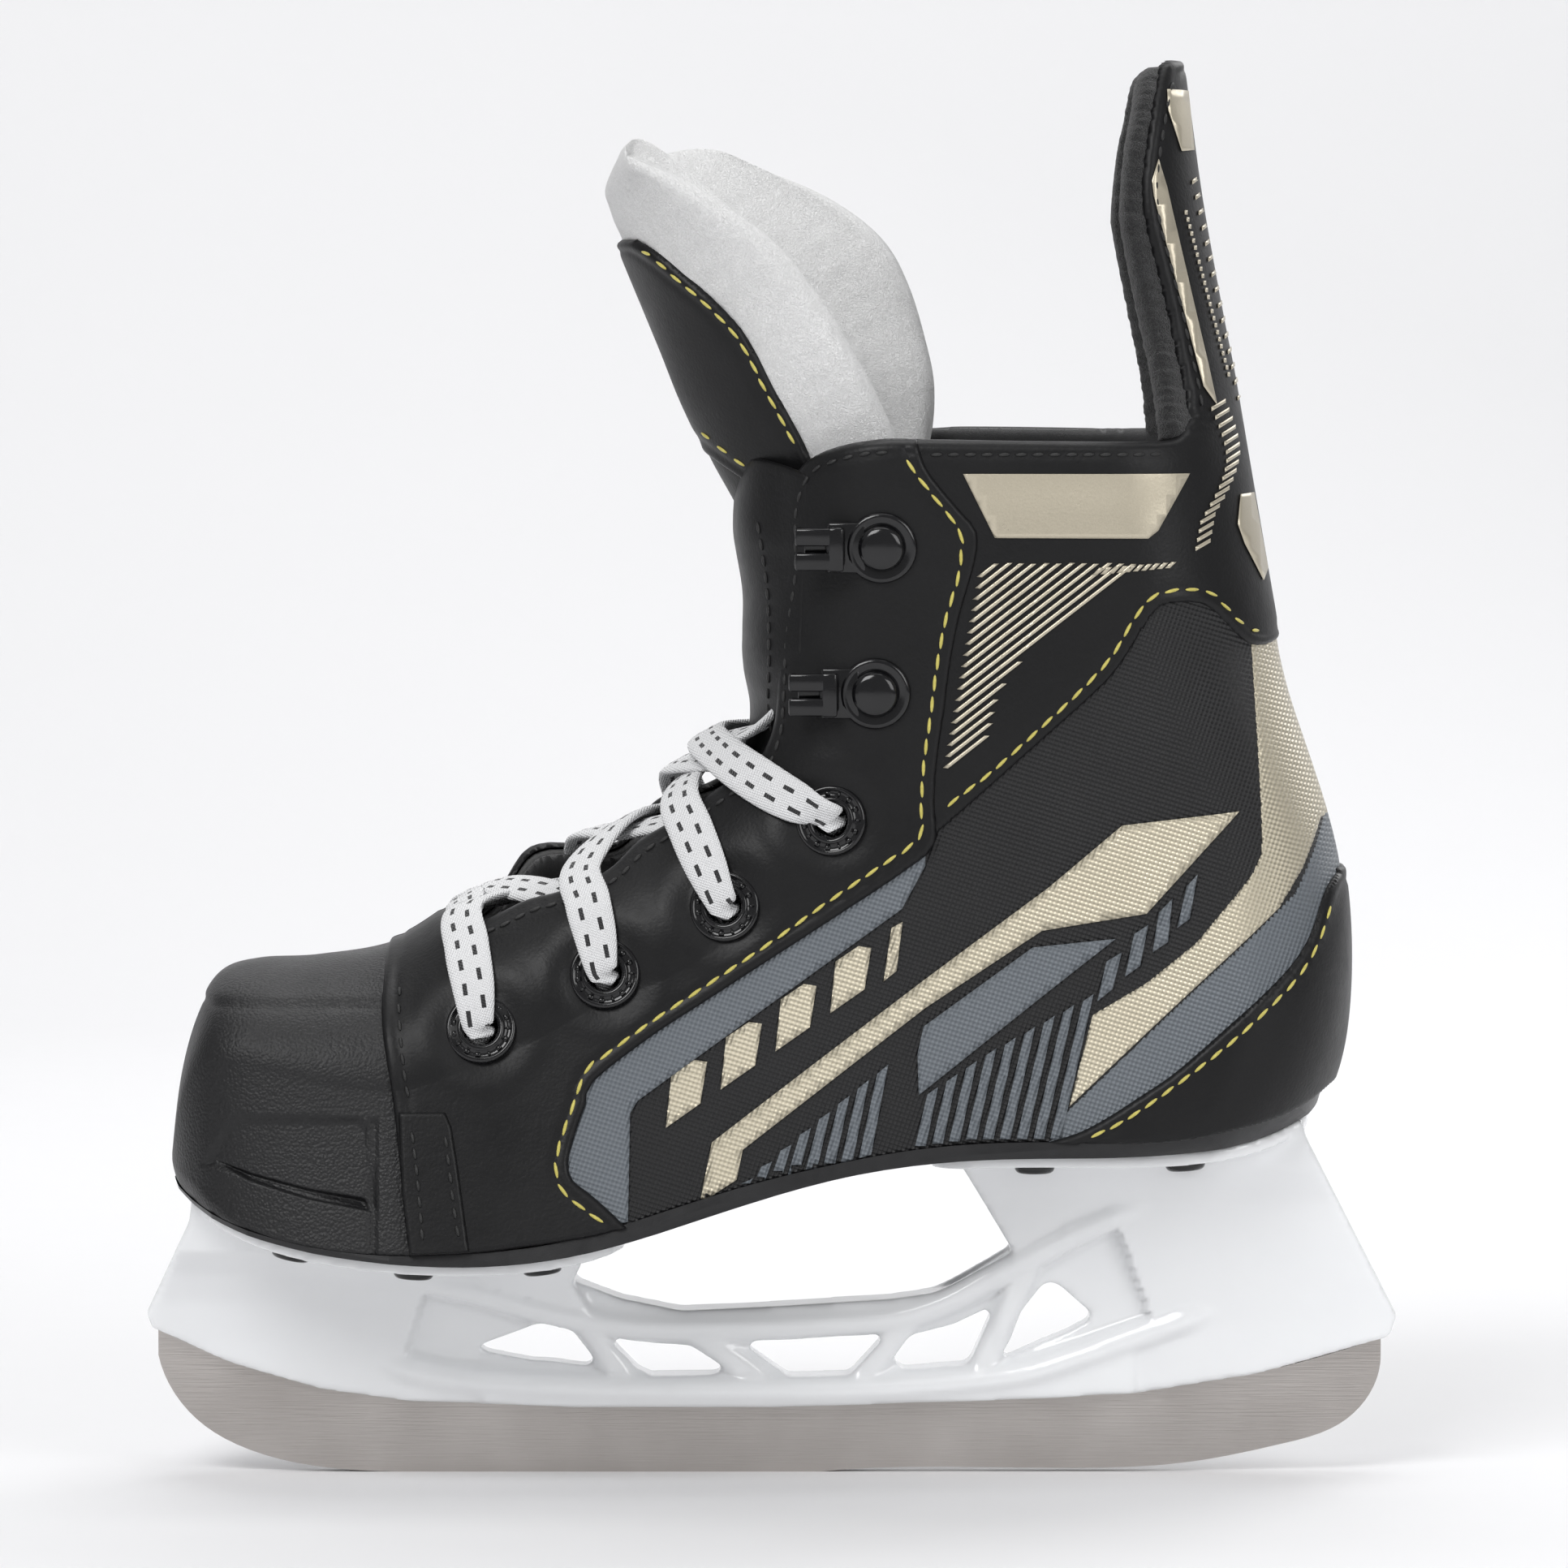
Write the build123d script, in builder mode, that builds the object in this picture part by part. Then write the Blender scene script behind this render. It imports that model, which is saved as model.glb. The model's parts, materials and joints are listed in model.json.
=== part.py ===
from build123d import *
import os
from math import cos, radians, sin, tan

os.makedirs("parts", exist_ok=True)

# ---------------------------------------------------------------- driving dimensions, mm
steel_thick = 3.0  # runner
steel_tang = 3.8  # height of runner hidden in the holder slot
rail_width = 8.0  # holder along the runner
truss_width = 10.0  # holder bridge between the towers
flange_thick = 2.4  # holder plates under the sole
front_flange_half = 30.0
rear_flange_half = 22.0
tower_wall = 2.4
skin = 1.6  # outer panels
cap_wall = 2.4  # moulded toe cap
padding = 3.0  # ankle foam and facing backer
lining = 1.0
board = 2.0  # insole board
footbed_thick = 4.0
lace_room = 3.6  # between lining and tongue
felt = 6.0
gap_half = 14.5  # half of the throat opening
gap_front = -55.0
gap_back = 20.0
topline = 172.0  # collar height
far = 70.0  # half width of cutting solids

wall = skin + padding + lining
tongue_inset = wall + lace_room

# Eyelet row, lateral side view (x, z), and hook rivets.
eyelets_xz = [(-47.3, 76.2), (-27.2, 85.0), (-7.7, 95.9), (9.6, 110.0)]
hooks_xz = [(16.8, 130.7), (17.8, 154.4)]
eyelet_flange_r = 5.85
eyelet_hole_r = 2.8
eyelet_barrel_r = 3.3
hook_base_r = 4.8
hook_rivet_r = 3.3

# Sole rivets: x and y, mirrored to both sides.
front_rivets_xy = [(-78.3, 18.0), (-58.5, 22.0), (-38.0, 20.0)]
rear_rivets_xy = [(43.2, 15.5), (67.8, 14.5)]
rivet_head_r = 3.3
rivet_shank_r = 1.7

# Pivots of the two soft flaps.
tongue_pivot = (-9.0, 167.5)
guard_pivot = (77.6, 172.6)
tongue_back_tilt = 12.0
guard_front_tilt = 8.0

# ---------------------------------------------------------------- side outlines (x, z)
sole_line = [
    (-98.5, 49.6), (-90, 44.5), (-80, 41.3), (-65, 38.8), (-50, 38.0), (-35, 39.2), (-20, 42.8),
    (-5, 47.6), (10, 51.8), (25, 54.2), (45, 55.0), (65, 55.2), (78, 56.8), (86, 59.3), (91, 62.5),
]
feather_line = [
    (-98.5, 50.2), (-90, 45.3), (-80, 42.2), (-65, 40.0), (-50, 40.1), (-35, 41.8), (-20, 46.0),
    (-5, 50.7), (10, 54.3), (25, 56.8), (45, 57.7), (65, 57.9), (78, 60.0), (86, 62.4), (91, 64.9),
]
steel_top = [
    (-102, 23.7), (-90, 18.5), (-80, 15.2), (-70, 13.0), (-60, 11.9), (-45, 11.1), (0, 11.0),
    (30, 11.7), (60, 13.2), (80, 16.4), (101.2, 22.4),
]
steel_low_front = [(-102, 19.5), (-100, 14.2), (-95, 8.2), (-85, 3.0), (-75, 0.8), (-62, 0.0)]
steel_low_rear = [(8, 0.0), (50, 0.6), (70, 1.7), (85, 4.7), (95, 8.4), (100, 14.2), (101.2, 19.5)]

cap_edge = [(-58.7, 37), (-59.7, 48.2), (-61.5, 64.2), (-63.4, 76.2), (-63.3, 84), (-61, 95)]
facing_back = [
    (23, 174), (22.5, 170.5), (28, 163.5), (33.3, 157), (33, 152.2), (29, 135.2), (26.5, 113.2),
    (26.5, 106.2), (10, 94), (-10, 81), (-29, 67.5), (-32, 59), (-33, 54.5), (-32.5, 52),
    (-24, 45.2), (-20, 36),
]
collar_low = [
    (26, 107), (35, 115), (50, 128.5), (58, 137.5), (61, 142.5), (65, 145.2), (70, 145.2),
    (74, 142), (78.5, 138), (84, 138.6), (101, 139),
]
counter_top = [
    (45, 48), (45, 57), (50, 59), (60, 65), (70, 72.5), (80, 81.5), (88, 91), (91, 98.5),
    (93, 101), (102, 101.3), (102, 48),
]

# Stations of the boot form. Each is a section in a plane square to the side view, from a sole
# point to an instep point (x, z), with half widths and end roundings at each end.
fan_centre = (-30.0, 160.0)


def on_ray(angle, reach):
    """Point (x, z) at a reach from the fan centre, turned from straight down to the heel."""
    return (
        fan_centre[0] + reach * sin(radians(angle)),
        fan_centre[1] - reach * cos(radians(angle)),
    )


toe_stations = [
    # x, low z, high z, low half width, top half width, low rounding, top rounding
    (-98.4, 50.5, 57.5, 15.0, 15.0, 3.0, 3.0),
    (-97.0, 46.5, 69.0, 20.5, 20.0, 6.0, 7.0),
    (-94.5, 43.0, 77.5, 25.5, 24.0, 8.0, 10.0),
    (-91.0, 39.0, 83.0, 29.5, 27.0, 9.0, 13.0),
    (-85.0, 35.0, 84.9, 33.0, 29.5, 9.0, 15.0),
    (-75.0, 32.0, 85.5, 36.0, 31.0, 9.0, 18.0),
    (-62.0, 30.0, 88.0, 37.5, 31.5, 9.0, 22.0),
    (-50.0, 29.0, 95.5, 37.5, 30.5, 9.0, 26.0),
    (-40.0, 29.5, 101.5, 37.0, 29.0, 9.0, 28.0),
]
fan_stations = [
    # angle, sole reach, instep reach, low half width, top half width, low and top rounding
    (0, 129.0, 53.0, 36.5, 28.0, 9.0, 28.0),
    (10, 123.0, 49.5, 35.0, 27.5, 9.0, 27.0),
    (20, 124.0, 46.5, 33.5, 27.5, 9.0, 26.0),
    (30, 129.5, 44.0, 31.5, 27.5, 9.0, 25.0),
    (38, 141.0, 41.0, 30.0, 27.5, 10.0, 24.0),
    (45, 153.5, 37.0, 28.5, 27.5, 14.0, 23.0),
    (50, 156.0, 34.5, 28.0, 27.5, 20.0, 22.0),
    (53, 152.8, 33.2, 28.0, 27.5, 22.0, 22.0),
    (56, 150.5, 32.0, 28.5, 27.5, 24.0, 22.0),
    (60, 145.8, 30.8, 28.5, 27.8, 25.0, 22.0),
    (65, 136.7, 29.6, 29.0, 28.0, 25.0, 22.0),
    (70, 127.3, 28.6, 29.0, 28.2, 25.0, 22.0),
    (76, 118.6, 27.6, 29.5, 28.5, 25.0, 22.0),
    (82, 113.8, 27.0, 30.0, 29.0, 25.0, 22.0),
    (90, 109.9, 27.0, 30.5, 29.5, 24.0, 22.0),
]
collar_stations = [
    # z, back x, front x, back and front half width, back and front rounding
    (168.0, 78.5, -2.5, 31.0, 30.0, 24.0, 22.0),
    (178.0, 76.8, -2.0, 31.5, 30.5, 24.0, 22.0),
]


def form_stations():
    """All stations of the boot form as (low point, top point, four shape values)."""
    rows = [((x, low), (x, high), shape) for x, low, high, *shape in toe_stations]
    for angle, sole_reach, instep_reach, *shape in fan_stations:
        rows.append((on_ray(angle, sole_reach), on_ray(angle, instep_reach), shape))
    rows += [((back, z), (front, z), shape) for z, back, front, *shape in collar_stations]
    return rows


def boot_form(inset):
    """Closed form of the boot, drawn in by inset all round (drawn out when negative)."""
    toe_reach = 24.0  # length over which the front sections also move back by the inset
    with BuildPart() as form:
        for low, top, (low_w, top_w, low_r, top_r) in form_stations():
            front = max(0.0, (toe_stations[0][0] + toe_reach - low[0]) / toe_reach)
            push = Vector(inset * front, 0, 0)
            base = Vector(low[0], 0, low[1])
            rise = Vector(top[0], 0, top[1]) - base
            up = rise.normalized()
            height = max(rise.length - 2 * inset, 0.4 * rise.length)
            start = base + up * ((rise.length - height) / 2) + push
            low_half = max(low_w - inset, 2.0)
            top_half = max(top_w - inset, 2.0)
            low_round = min(max(low_r - inset, 1.2), low_half)
            top_round = min(max(top_r - inset, 1.2), top_half)
            if low_round + top_round > height - 0.5:
                scale = (height - 0.5) / (low_round + top_round)
                low_round, top_round = low_round * scale, top_round * scale
            plane = Plane(start, x_dir=(0, 1, 0), z_dir=Vector(0, 1, 0).cross(up))
            with BuildSketch(plane):
                with BuildLine():
                    under = EllipticalCenterArc((0, low_round), low_half, low_round, 270)
                    over = EllipticalCenterArc((0, height - top_round), top_half, top_round, 0)
                    Line(under @ 1, over @ 0)
                    mirror(about=Plane.YZ)
                make_face()
        loft(ruled=True)
    return form.part


def side_solid(points, half=far):
    """Straight sided outline in the side view, made solid across the whole width."""
    with BuildPart() as block:
        with BuildSketch(Plane.XZ):
            with BuildLine():
                Polyline(*points, close=True)
            make_face()
        extrude(amount=half, both=True)
    return block.part


def band_solid(line, low, high, half=far):
    """Solid between a side view curve lifted by low and by high."""
    with BuildPart() as block:
        with BuildSketch(Plane.XZ):
            with BuildLine():
                under = Spline(*[(x, z + low) for x, z in line])
                over = Spline(*[(x, z + high) for x, z in line])
                Line(under @ 0, over @ 0)
                Line(under @ 1, over @ 1)
            make_face()
        extrude(amount=half, both=True)
    return block.part


def above_solid(line, lift):
    """Everything above a side view curve lifted by lift."""
    with BuildPart() as block:
        with BuildSketch(Plane.XZ):
            with BuildLine():
                under = Spline(*[(x, z + lift) for x, z in line])
                Polyline(under @ 1, (110, (under @ 1).Y), (110, 260), (-130, 260))
                Polyline((-130, 260), (-130, (under @ 0).Y), under @ 0)
            make_face()
        extrude(amount=far, both=True)
    return block.part


def disc_at(plane, radius, start, height):
    """Cylinder on a plane's axis, from start along the axis for height."""
    with BuildPart() as block:
        with BuildSketch(plane.offset(start)):
            Circle(radius)
        extrude(amount=height)
    return block.part


def common(first, *others):
    """What the solids share, as one part."""
    shared = first
    for other in others:
        shared = shared & other
    return Part(shared.solids())


def write(part, name):
    """Label a finished piece and write its STEP."""
    part.label = name
    export_step(part, f"parts/{name}.step")


# ---------------------------------------------------------------- boot regions and layers
form_skin = boot_form(0)
form_pad = boot_form(skin)
form_lining = boot_form(skin + padding)
form_inside = boot_form(wall)

feather = above_solid(feather_line, 0)
above_board = above_solid(feather_line, board)
below_topline = side_solid(
    [
        (-120, 20), (110, 20), (110, topline), (23, topline), (15, 171.7), (10, 170.5), (6, 169),
        (3.5, 166), (2, 161), (1.5, 157), (-12, 150), (-120, 150),
    ]
)
cap_region = side_solid([(-120, 20), *cap_edge, (-120, 95)])
facing_region = side_solid([(-57.5, 20), *cap_edge, (-40, 130), (-20, 180), *facing_back, (-20, 20)])
collar_region = side_solid([*collar_low, (101, 185), (12, 185), (12, 107)])
counter_region = side_solid(counter_top)

with BuildPart() as throat:
    with BuildSketch(Plane.XY.offset(74)):
        with Locations(((gap_front + gap_back) / 2, 0)):
            RectangleRounded(gap_back - gap_front, 2 * gap_half, 9.0)
    extrude(amount=120)

with BuildPart() as lateral_half:
    with Locations((0, -far / 2, 120)):
        Box(400, far, 300)

with BuildPart() as medial_half:
    with Locations((0, far / 2, 120)):
        Box(400, far, 300)

halves = {"lateral": lateral_half.part, "medial": medial_half.part}


def upper_layer(outer, inner, floor):
    """Layer of the upper between two forms, above a floor, below the topline, throat open."""
    return common(outer - inner - throat.part, floor, below_topline)


skin_layer = upper_layer(form_skin, form_pad, feather)
pad_layer = upper_layer(form_pad, form_lining, above_board)
lining_layer = upper_layer(form_lining, form_inside, above_board) - cap_region

# ---------------------------------------------------------------- toe cap and its lining
form_cap_inside = boot_form(cap_wall)
form_cap_lining = boot_form(cap_wall + skin)
toe_cap = common(form_skin - form_cap_inside, feather, cap_region)
toe_lining = common(form_cap_inside - form_cap_lining, above_board, cap_region)
write(toe_cap, "toe_cap")
write(toe_lining, "toe_lining")

# ---------------------------------------------------------------- upper panels
facing = common(skin_layer - cap_region, facing_region)
rest = skin_layer - cap_region - facing_region
collar = common(rest, collar_region)
counter = common(rest - collar_region, counter_region)
quarter = rest - collar_region - counter_region
backer = common(pad_layer - cap_region, facing_region)
ankle_pad = pad_layer - cap_region - facing_region


def at_surface(x, z, side):
    """Plane on the boot's outer face at (x, z), its axis pointing outwards, x axis to the heel."""
    sign = -1 if side == "lateral" else 1
    hits = form_skin.find_intersection_points(Axis((x, 0, z), (0, sign, 0)))
    point, normal = max(hits, key=lambda hit: sign * hit[0].Y)
    if normal.Y * sign < 0:
        normal = normal * -1
    tilt = Vector(1, 0, 0) - normal * normal.X
    return Plane(point, x_dir=tilt, z_dir=normal)


# ---------------------------------------------------------------- eyelets and hooks
flange_height = 1.3
seat_depth = 0.7
washer_height = 0.8
washer_r = 5.5
hook_plate = 1.2


def eyelet(plane):
    """Rolled grommet: domed flange outside, barrel through the facing."""
    with BuildPart() as piece:
        with BuildSketch(plane.offset(-seat_depth)):
            Circle(eyelet_flange_r)
        extrude(amount=flange_height)
        fillet(piece.edges().sort_by(Axis(plane.origin, plane.z_dir))[-1:], 0.9)
        with BuildSketch(plane.offset(-wall - washer_height / 2)):
            Circle(eyelet_barrel_r)
        extrude(amount=wall + washer_height / 2)
        with BuildSketch(plane.offset(-wall - 2)):
            Circle(eyelet_hole_r)
        extrude(amount=wall + 4, mode=Mode.SUBTRACT)
    return piece.part


def washer(plane):
    """Flat ring pressed on the barrel inside the boot."""
    with BuildPart() as piece:
        with BuildSketch(plane.offset(-wall)):
            Circle(washer_r)
            Circle(eyelet_barrel_r, mode=Mode.SUBTRACT)
        extrude(amount=washer_height)
    return piece.part


def lace_hook(plane):
    """Pressed hook: round base under the rivet, strip towards the throat, lip folded back over."""
    reach = 12.0
    strip_half = 3.0
    gap = 3.2
    with BuildPart() as piece:
        with BuildSketch(plane.offset(-seat_depth)):
            Circle(hook_base_r)
            with Locations((-reach / 2, 0)):
                Rectangle(reach, 2 * strip_half)
            Circle(hook_rivet_r / 2, mode=Mode.SUBTRACT)
        extrude(amount=hook_plate)
        with BuildSketch(plane.offset(-seat_depth + hook_plate)):
            with Locations((-reach + hook_plate / 2, 0)):
                Rectangle(hook_plate, 2 * strip_half)
        extrude(amount=gap)
        with BuildSketch(plane.offset(-seat_depth + hook_plate + gap)):
            with Locations((-reach + 3.2, 0)):
                Rectangle(6.4, 2 * strip_half)
        extrude(amount=hook_plate)
    return piece.part


def hook_rivet(plane):
    """Domed rivet through the hook's base and the facing."""
    dome = 1.8
    with BuildPart() as piece:
        with BuildSketch(plane.offset(-seat_depth + hook_plate)):
            Circle(hook_rivet_r)
        extrude(amount=dome)
        fillet(piece.edges().sort_by(Axis(plane.origin, plane.z_dir))[-1:], 1.2)
        with BuildSketch(plane.offset(-wall)):
            Circle(hook_rivet_r / 2)
        extrude(amount=wall - seat_depth + hook_plate)
        with BuildSketch(plane.offset(-wall)):
            Circle(hook_rivet_r)
        extrude(amount=washer_height)
    return piece.part


for side, half in halves.items():
    eyelet_planes = [at_surface(x, z, side) for x, z in eyelets_xz]
    hook_planes = [at_surface(x, z, side) for x, z in hooks_xz]
    cutters = []
    for plane in eyelet_planes:
        cutters.append(disc_at(plane, eyelet_flange_r, -seat_depth, 6))
        cutters.append(disc_at(plane, eyelet_barrel_r, -wall - 3, wall + 6))
        cutters.append(disc_at(plane, washer_r, -wall - 3, 3 + washer_height))
    for plane in hook_planes:
        cutters.append(disc_at(plane, hook_base_r, -seat_depth, 6))
        cutters.append(disc_at(plane, hook_rivet_r / 2, -wall - 3, wall + 6))
        cutters.append(disc_at(plane, hook_rivet_r, -wall - 3, 3 + washer_height))
        with BuildPart() as slot:
            with BuildSketch(plane.offset(-seat_depth)):
                with Locations((-6, 0)):
                    Rectangle(12, 6)
            extrude(amount=5)
        cutters.append(slot.part)
    for source, name in [(facing, "facing"), (backer, "facing_backer")]:
        piece = common(source, half)
        for cutter in cutters:
            piece = piece - cutter
        write(piece, f"{name}_{side}")
    lining_side = common(lining_layer, half)
    for cutter in cutters:
        lining_side = lining_side - cutter
    write(lining_side, f"lining_{side}")
    write(Compound(children=[eyelet(plane) for plane in eyelet_planes]), f"eyelets_{side}")
    write(Compound(children=[washer(plane) for plane in eyelet_planes]), f"eyelet_washers_{side}")
    write(Compound(children=[lace_hook(plane) for plane in hook_planes]), f"lace_hooks_{side}")
    write(Compound(children=[hook_rivet(plane) for plane in hook_planes]), f"hook_rivets_{side}")
    write(common(collar, half), f"collar_panel_{side}")
    write(common(quarter, half), f"quarter_{side}")
    write(common(ankle_pad, half), f"ankle_padding_{side}")
write(counter, "heel_counter")

# ---------------------------------------------------------------- sole
outsole = common(boot_form(-0.4), band_solid(sole_line, 0, 30)) - above_solid(feather_line, 0)
insole_board = common(form_cap_inside, band_solid(feather_line, 0, board))
footbed = common(boot_form(wall + 0.4), band_solid(feather_line, board, board + footbed_thick))


def on_line(line, x):
    """Plane on a side view curve at x, its axis square to the curve and pointing up."""
    curve = Spline(*line)
    low, high = 0.0, 1.0
    for _ in range(40):
        middle = (low + high) / 2
        if (curve @ middle).X < x:
            low = middle
        else:
            high = middle
    point, along = curve @ low, curve % low
    return Plane(
        (point.X, 0, point.Y), x_dir=(along.X, 0, along.Y), z_dir=(-along.Y, 0, along.X)
    )


# ---------------------------------------------------------------- rivets through the sole
head_seat = 0.2  # flat seat of each rivet head in the plate's underside
head_height = 1.6
rivet_washer_r = 4.5


def rivet_parts(row):
    """Rivet heads with shanks, their washers inside, and the cutters for both."""
    rivets, washers, cutters = [], [], []
    for x, y in [(x, side * y) for x, y in row for side in (-1, 1)]:
        under = on_line(sole_line, x)
        plane = Plane(under.origin + Vector(0, y, 0), x_dir=under.x_dir, z_dir=under.z_dir)
        above = on_line(feather_line, x)
        top = (above.origin - under.origin).dot(under.z_dir) + board
        seat = -flange_thick + head_seat
        with BuildPart() as rivet:
            with BuildSketch(plane.offset(seat - head_height)):
                Circle(rivet_head_r)
            extrude(amount=head_height)
            fillet(rivet.edges().sort_by(Axis(plane.origin, plane.z_dir))[:1], 1.0)
            with BuildSketch(plane.offset(seat)):
                Circle(rivet_shank_r)
            extrude(amount=top - seat)
        with BuildPart() as ring:
            with BuildSketch(plane.offset(top - 0.9)):
                Circle(rivet_washer_r)
                Circle(rivet_shank_r, mode=Mode.SUBTRACT)
            extrude(amount=0.9)
        rivets.append(rivet.part)
        washers.append(ring.part)
        cutters.append(disc_at(plane, rivet_head_r + 0.2, -flange_thick - 4, 4 + head_seat))
        cutters.append(disc_at(plane, rivet_shank_r, -flange_thick - 1, flange_thick + 1 + top))
        cutters.append(disc_at(plane, rivet_washer_r, top - 0.9, 4))
    return rivets, washers, cutters


front_rivets, front_washers, front_cuts = rivet_parts(front_rivets_xy)
rear_rivets, rear_washers, rear_cuts = rivet_parts(rear_rivets_xy)
write(Compound(children=front_rivets), "front_rivets")
write(Compound(children=rear_rivets), "rear_rivets")
write(Compound(children=front_washers + rear_washers), "rivet_washers")
for cutter in front_cuts + rear_cuts:
    outsole = outsole - cutter
    insole_board = insole_board - cutter
    footbed = footbed - cutter
write(outsole, "outsole")
write(insole_board, "insole_board")
write(footbed, "footbed")

# ---------------------------------------------------------------- runner and its fixings
lug_reach = 12.0  # half length of each mounting lug
front_lug = (-74.0, 21.0)  # barrel nut centre (x, z)
rear_lug = (75.0, 24.5)
lug_rise = 6.5  # lug above the nut centre
bolt_rise = 10.0  # underside of the bolt head above the nut centre
bolt_r = 2.0
nut_r = 3.2
nut_half = 3.4
bolt_head_r = 3.6
bolt_head = 3.0

with BuildPart() as runner:
    with BuildSketch(Plane.XZ):
        with BuildLine():
            over = Spline(*steel_top)
            front = Spline(*steel_low_front)
            rear = Spline(*steel_low_rear)
            Line(over @ 0, front @ 0)
            Line(front @ 1, rear @ 0)
            Line(rear @ 1, over @ 1)
        make_face()
    extrude(amount=steel_thick / 2, both=True)


def tang_solid():
    """Hidden part of the runner: a low rib in the rail and a lug in each tower."""
    rib = band_solid(steel_top[1:-1], -2, steel_tang, steel_thick / 2)
    with BuildPart() as lugs:
        with BuildSketch(Plane.XZ):
            for x, z in (front_lug, rear_lug):
                with Locations((x, z)):
                    Rectangle(2 * lug_reach, 2 * lug_rise)
        extrude(amount=steel_thick / 2, both=True)
    return rib + lugs.part


def lug_bolt(x, z):
    """Hex head bolt standing in the lug, head up."""
    with BuildPart() as bolt:
        with BuildSketch(Plane.XY.offset(z + bolt_rise)):
            with Locations((x, 0)):
                RegularPolygon(bolt_head_r, 6)
        extrude(amount=bolt_head)
        with BuildSketch(Plane.XY.offset(z - 2)):
            with Locations((x, 0)):
                Circle(bolt_r)
        extrude(amount=bolt_rise + 2)
    return bolt.part


def barrel_nut(x, z):
    """Cross nut lying in the lug, drilled for the bolt."""
    with BuildPart() as nut:
        with BuildSketch(Plane.XZ):
            with Locations((x, z)):
                Circle(nut_r)
        extrude(amount=nut_half, both=True)
        with BuildSketch(Plane.XY.offset(z - 2)):
            with Locations((x, 0)):
                Circle(bolt_r)
        extrude(amount=nut_r + 4, mode=Mode.SUBTRACT)
    return nut.part


tang = tang_solid()
bolts = [lug_bolt(*front_lug), lug_bolt(*rear_lug)]
nuts = [barrel_nut(*front_lug), barrel_nut(*rear_lug)]
steel = runner.part + tang
fixings = bolts + nuts
for piece in fixings:
    steel = steel - piece
write(Part(steel.solids()), "runner")
write(Compound(children=bolts), "runner_bolts")
write(Compound(children=nuts), "runner_nuts")

# ---------------------------------------------------------------- blade holder
front_tower_side = [
    (-103.6, 27.2), (-103.0, 24.6), (-90, 18.5), (-75, 14), (-60, 11.9), (-30, 11), (-30, 27),
    (-33, 32.2), (-29.5, 40), (-29.5, 50), (-95, 56), (-96, 43),
]
rear_tower_side = [
    (36, 13), (60, 13.2), (80, 16.4), (102.4, 22.8), (103.7, 26.4), (88, 57), (86, 66), (30, 62),
    (31, 52.4), (40, 37.2), (37, 28),
]
front_hollow_side = [
    (-97, 31), (-55, 31), (-40, 33), (-35, 36), (-33, 42), (-33, 60), (-90, 60), (-92, 45),
]
rear_hollow_side = [
    (50, 36), (58, 34.5), (97, 34.5), (85, 57), (85, 70), (34, 70), (35.5, 52), (43, 40),
]
front_profile = [(4, 5), (4, 15), (5.2, 22), (7, 29), (9.5, 34), (13, 38), (15, 60)]
rear_profile = [(4, 5), (4, 16), (5, 25), (7, 36), (9, 46), (12, 52), (14, 75)]
bridge_side = [
    (-48, 12), (-33, 11), (0, 11), (45, 12.5), (60, 13.5), (60, 30), (45, 40.5), (40, 36.7),
    (30, 30.7), (20, 29.2), (0, 27.9), (-15, 27.2), (-25, 29.2), (-33, 32.2), (-48, 31),
]
windows = [
    [(-49.5, 21), (-36.7, 25.8), (-33.6, 24.5), (-29, 18.4), (-40, 18.8), (-48.3, 20.4)],
    [(-27.5, 22.6), (-24.5, 22.4), (-10, 17.5), (-21.8, 17)],
    [(-5.3, 21.8), (19.2, 23.3), (12.9, 16.4), (2.7, 16.2)],
    [(24.7, 22.2), (37.1, 28.1), (32.7, 18.2), (20.3, 17.2)],
    [(45.5, 32.1), (47.4, 31.7), (53.6, 26.2), (49.5, 23.7), (37.5, 18.8)],
]


def cross_profile(half_points, wall_in=0.0):
    """Shape across the holder, mirrored about its middle and run along its whole length."""
    right = [(max(y - wall_in, 1.0), z) for y, z in half_points]
    left = [(-y, z) for y, z in reversed(right)]
    with BuildPart() as block:
        with BuildSketch(Plane.YZ):
            with BuildLine():
                Polyline(*right, *left, close=True)
            make_face()
        extrude(amount=120, both=True)
    return block.part


def plate(x_front, x_back, half, nose, tail):
    """Plate under the sole, between the sole curve and its underside, with rounded ends."""
    with BuildPart() as outline:
        with BuildSketch(Plane.XY.offset(20)) as plan:
            with Locations(((x_front + x_back) / 2, 0)):
                Rectangle(x_back - x_front, 2 * half)
            fillet(plan.vertices().sort_by(Axis.X)[:2], nose)
            fillet(plan.vertices().sort_by(Axis.X)[-2:], tail)
        extrude(amount=60)
    return common(outline.part, band_solid(sole_line, -flange_thick, 0))


holder = common(side_solid(front_tower_side), cross_profile(front_profile))
holder = holder + common(side_solid(rear_tower_side), cross_profile(rear_profile))
holder = holder + side_solid(bridge_side, truss_width / 2)
holder = holder - above_solid(sole_line, 0)
holder = holder + plate(-96.0, -24.0, front_flange_half, 26.0, 12.0)
holder = holder + plate(26.0, 89.0, rear_flange_half, 10.0, 20.0)
holder = holder - common(side_solid(front_hollow_side), cross_profile(front_profile, tower_wall))
holder = holder - common(side_solid(rear_hollow_side), cross_profile(rear_profile, tower_wall))
for outline in windows:
    holder = holder - side_solid(outline)
with BuildPart() as rail_cut:
    with BuildSketch(Plane.XZ):
        with BuildLine():
            edge = Spline(*steel_top)
            Polyline(edge @ 1, (112, 24), (112, -5), (-112, -5), (-112, 24.5), edge @ 0)
        make_face()
    extrude(amount=far, both=True)
holder = holder - rail_cut.part - tang
for piece in fixings:
    holder = holder - piece
for cutter in front_cuts + rear_cuts:
    holder = holder - cutter
write(Part(holder.solids()), "blade_holder")

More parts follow.
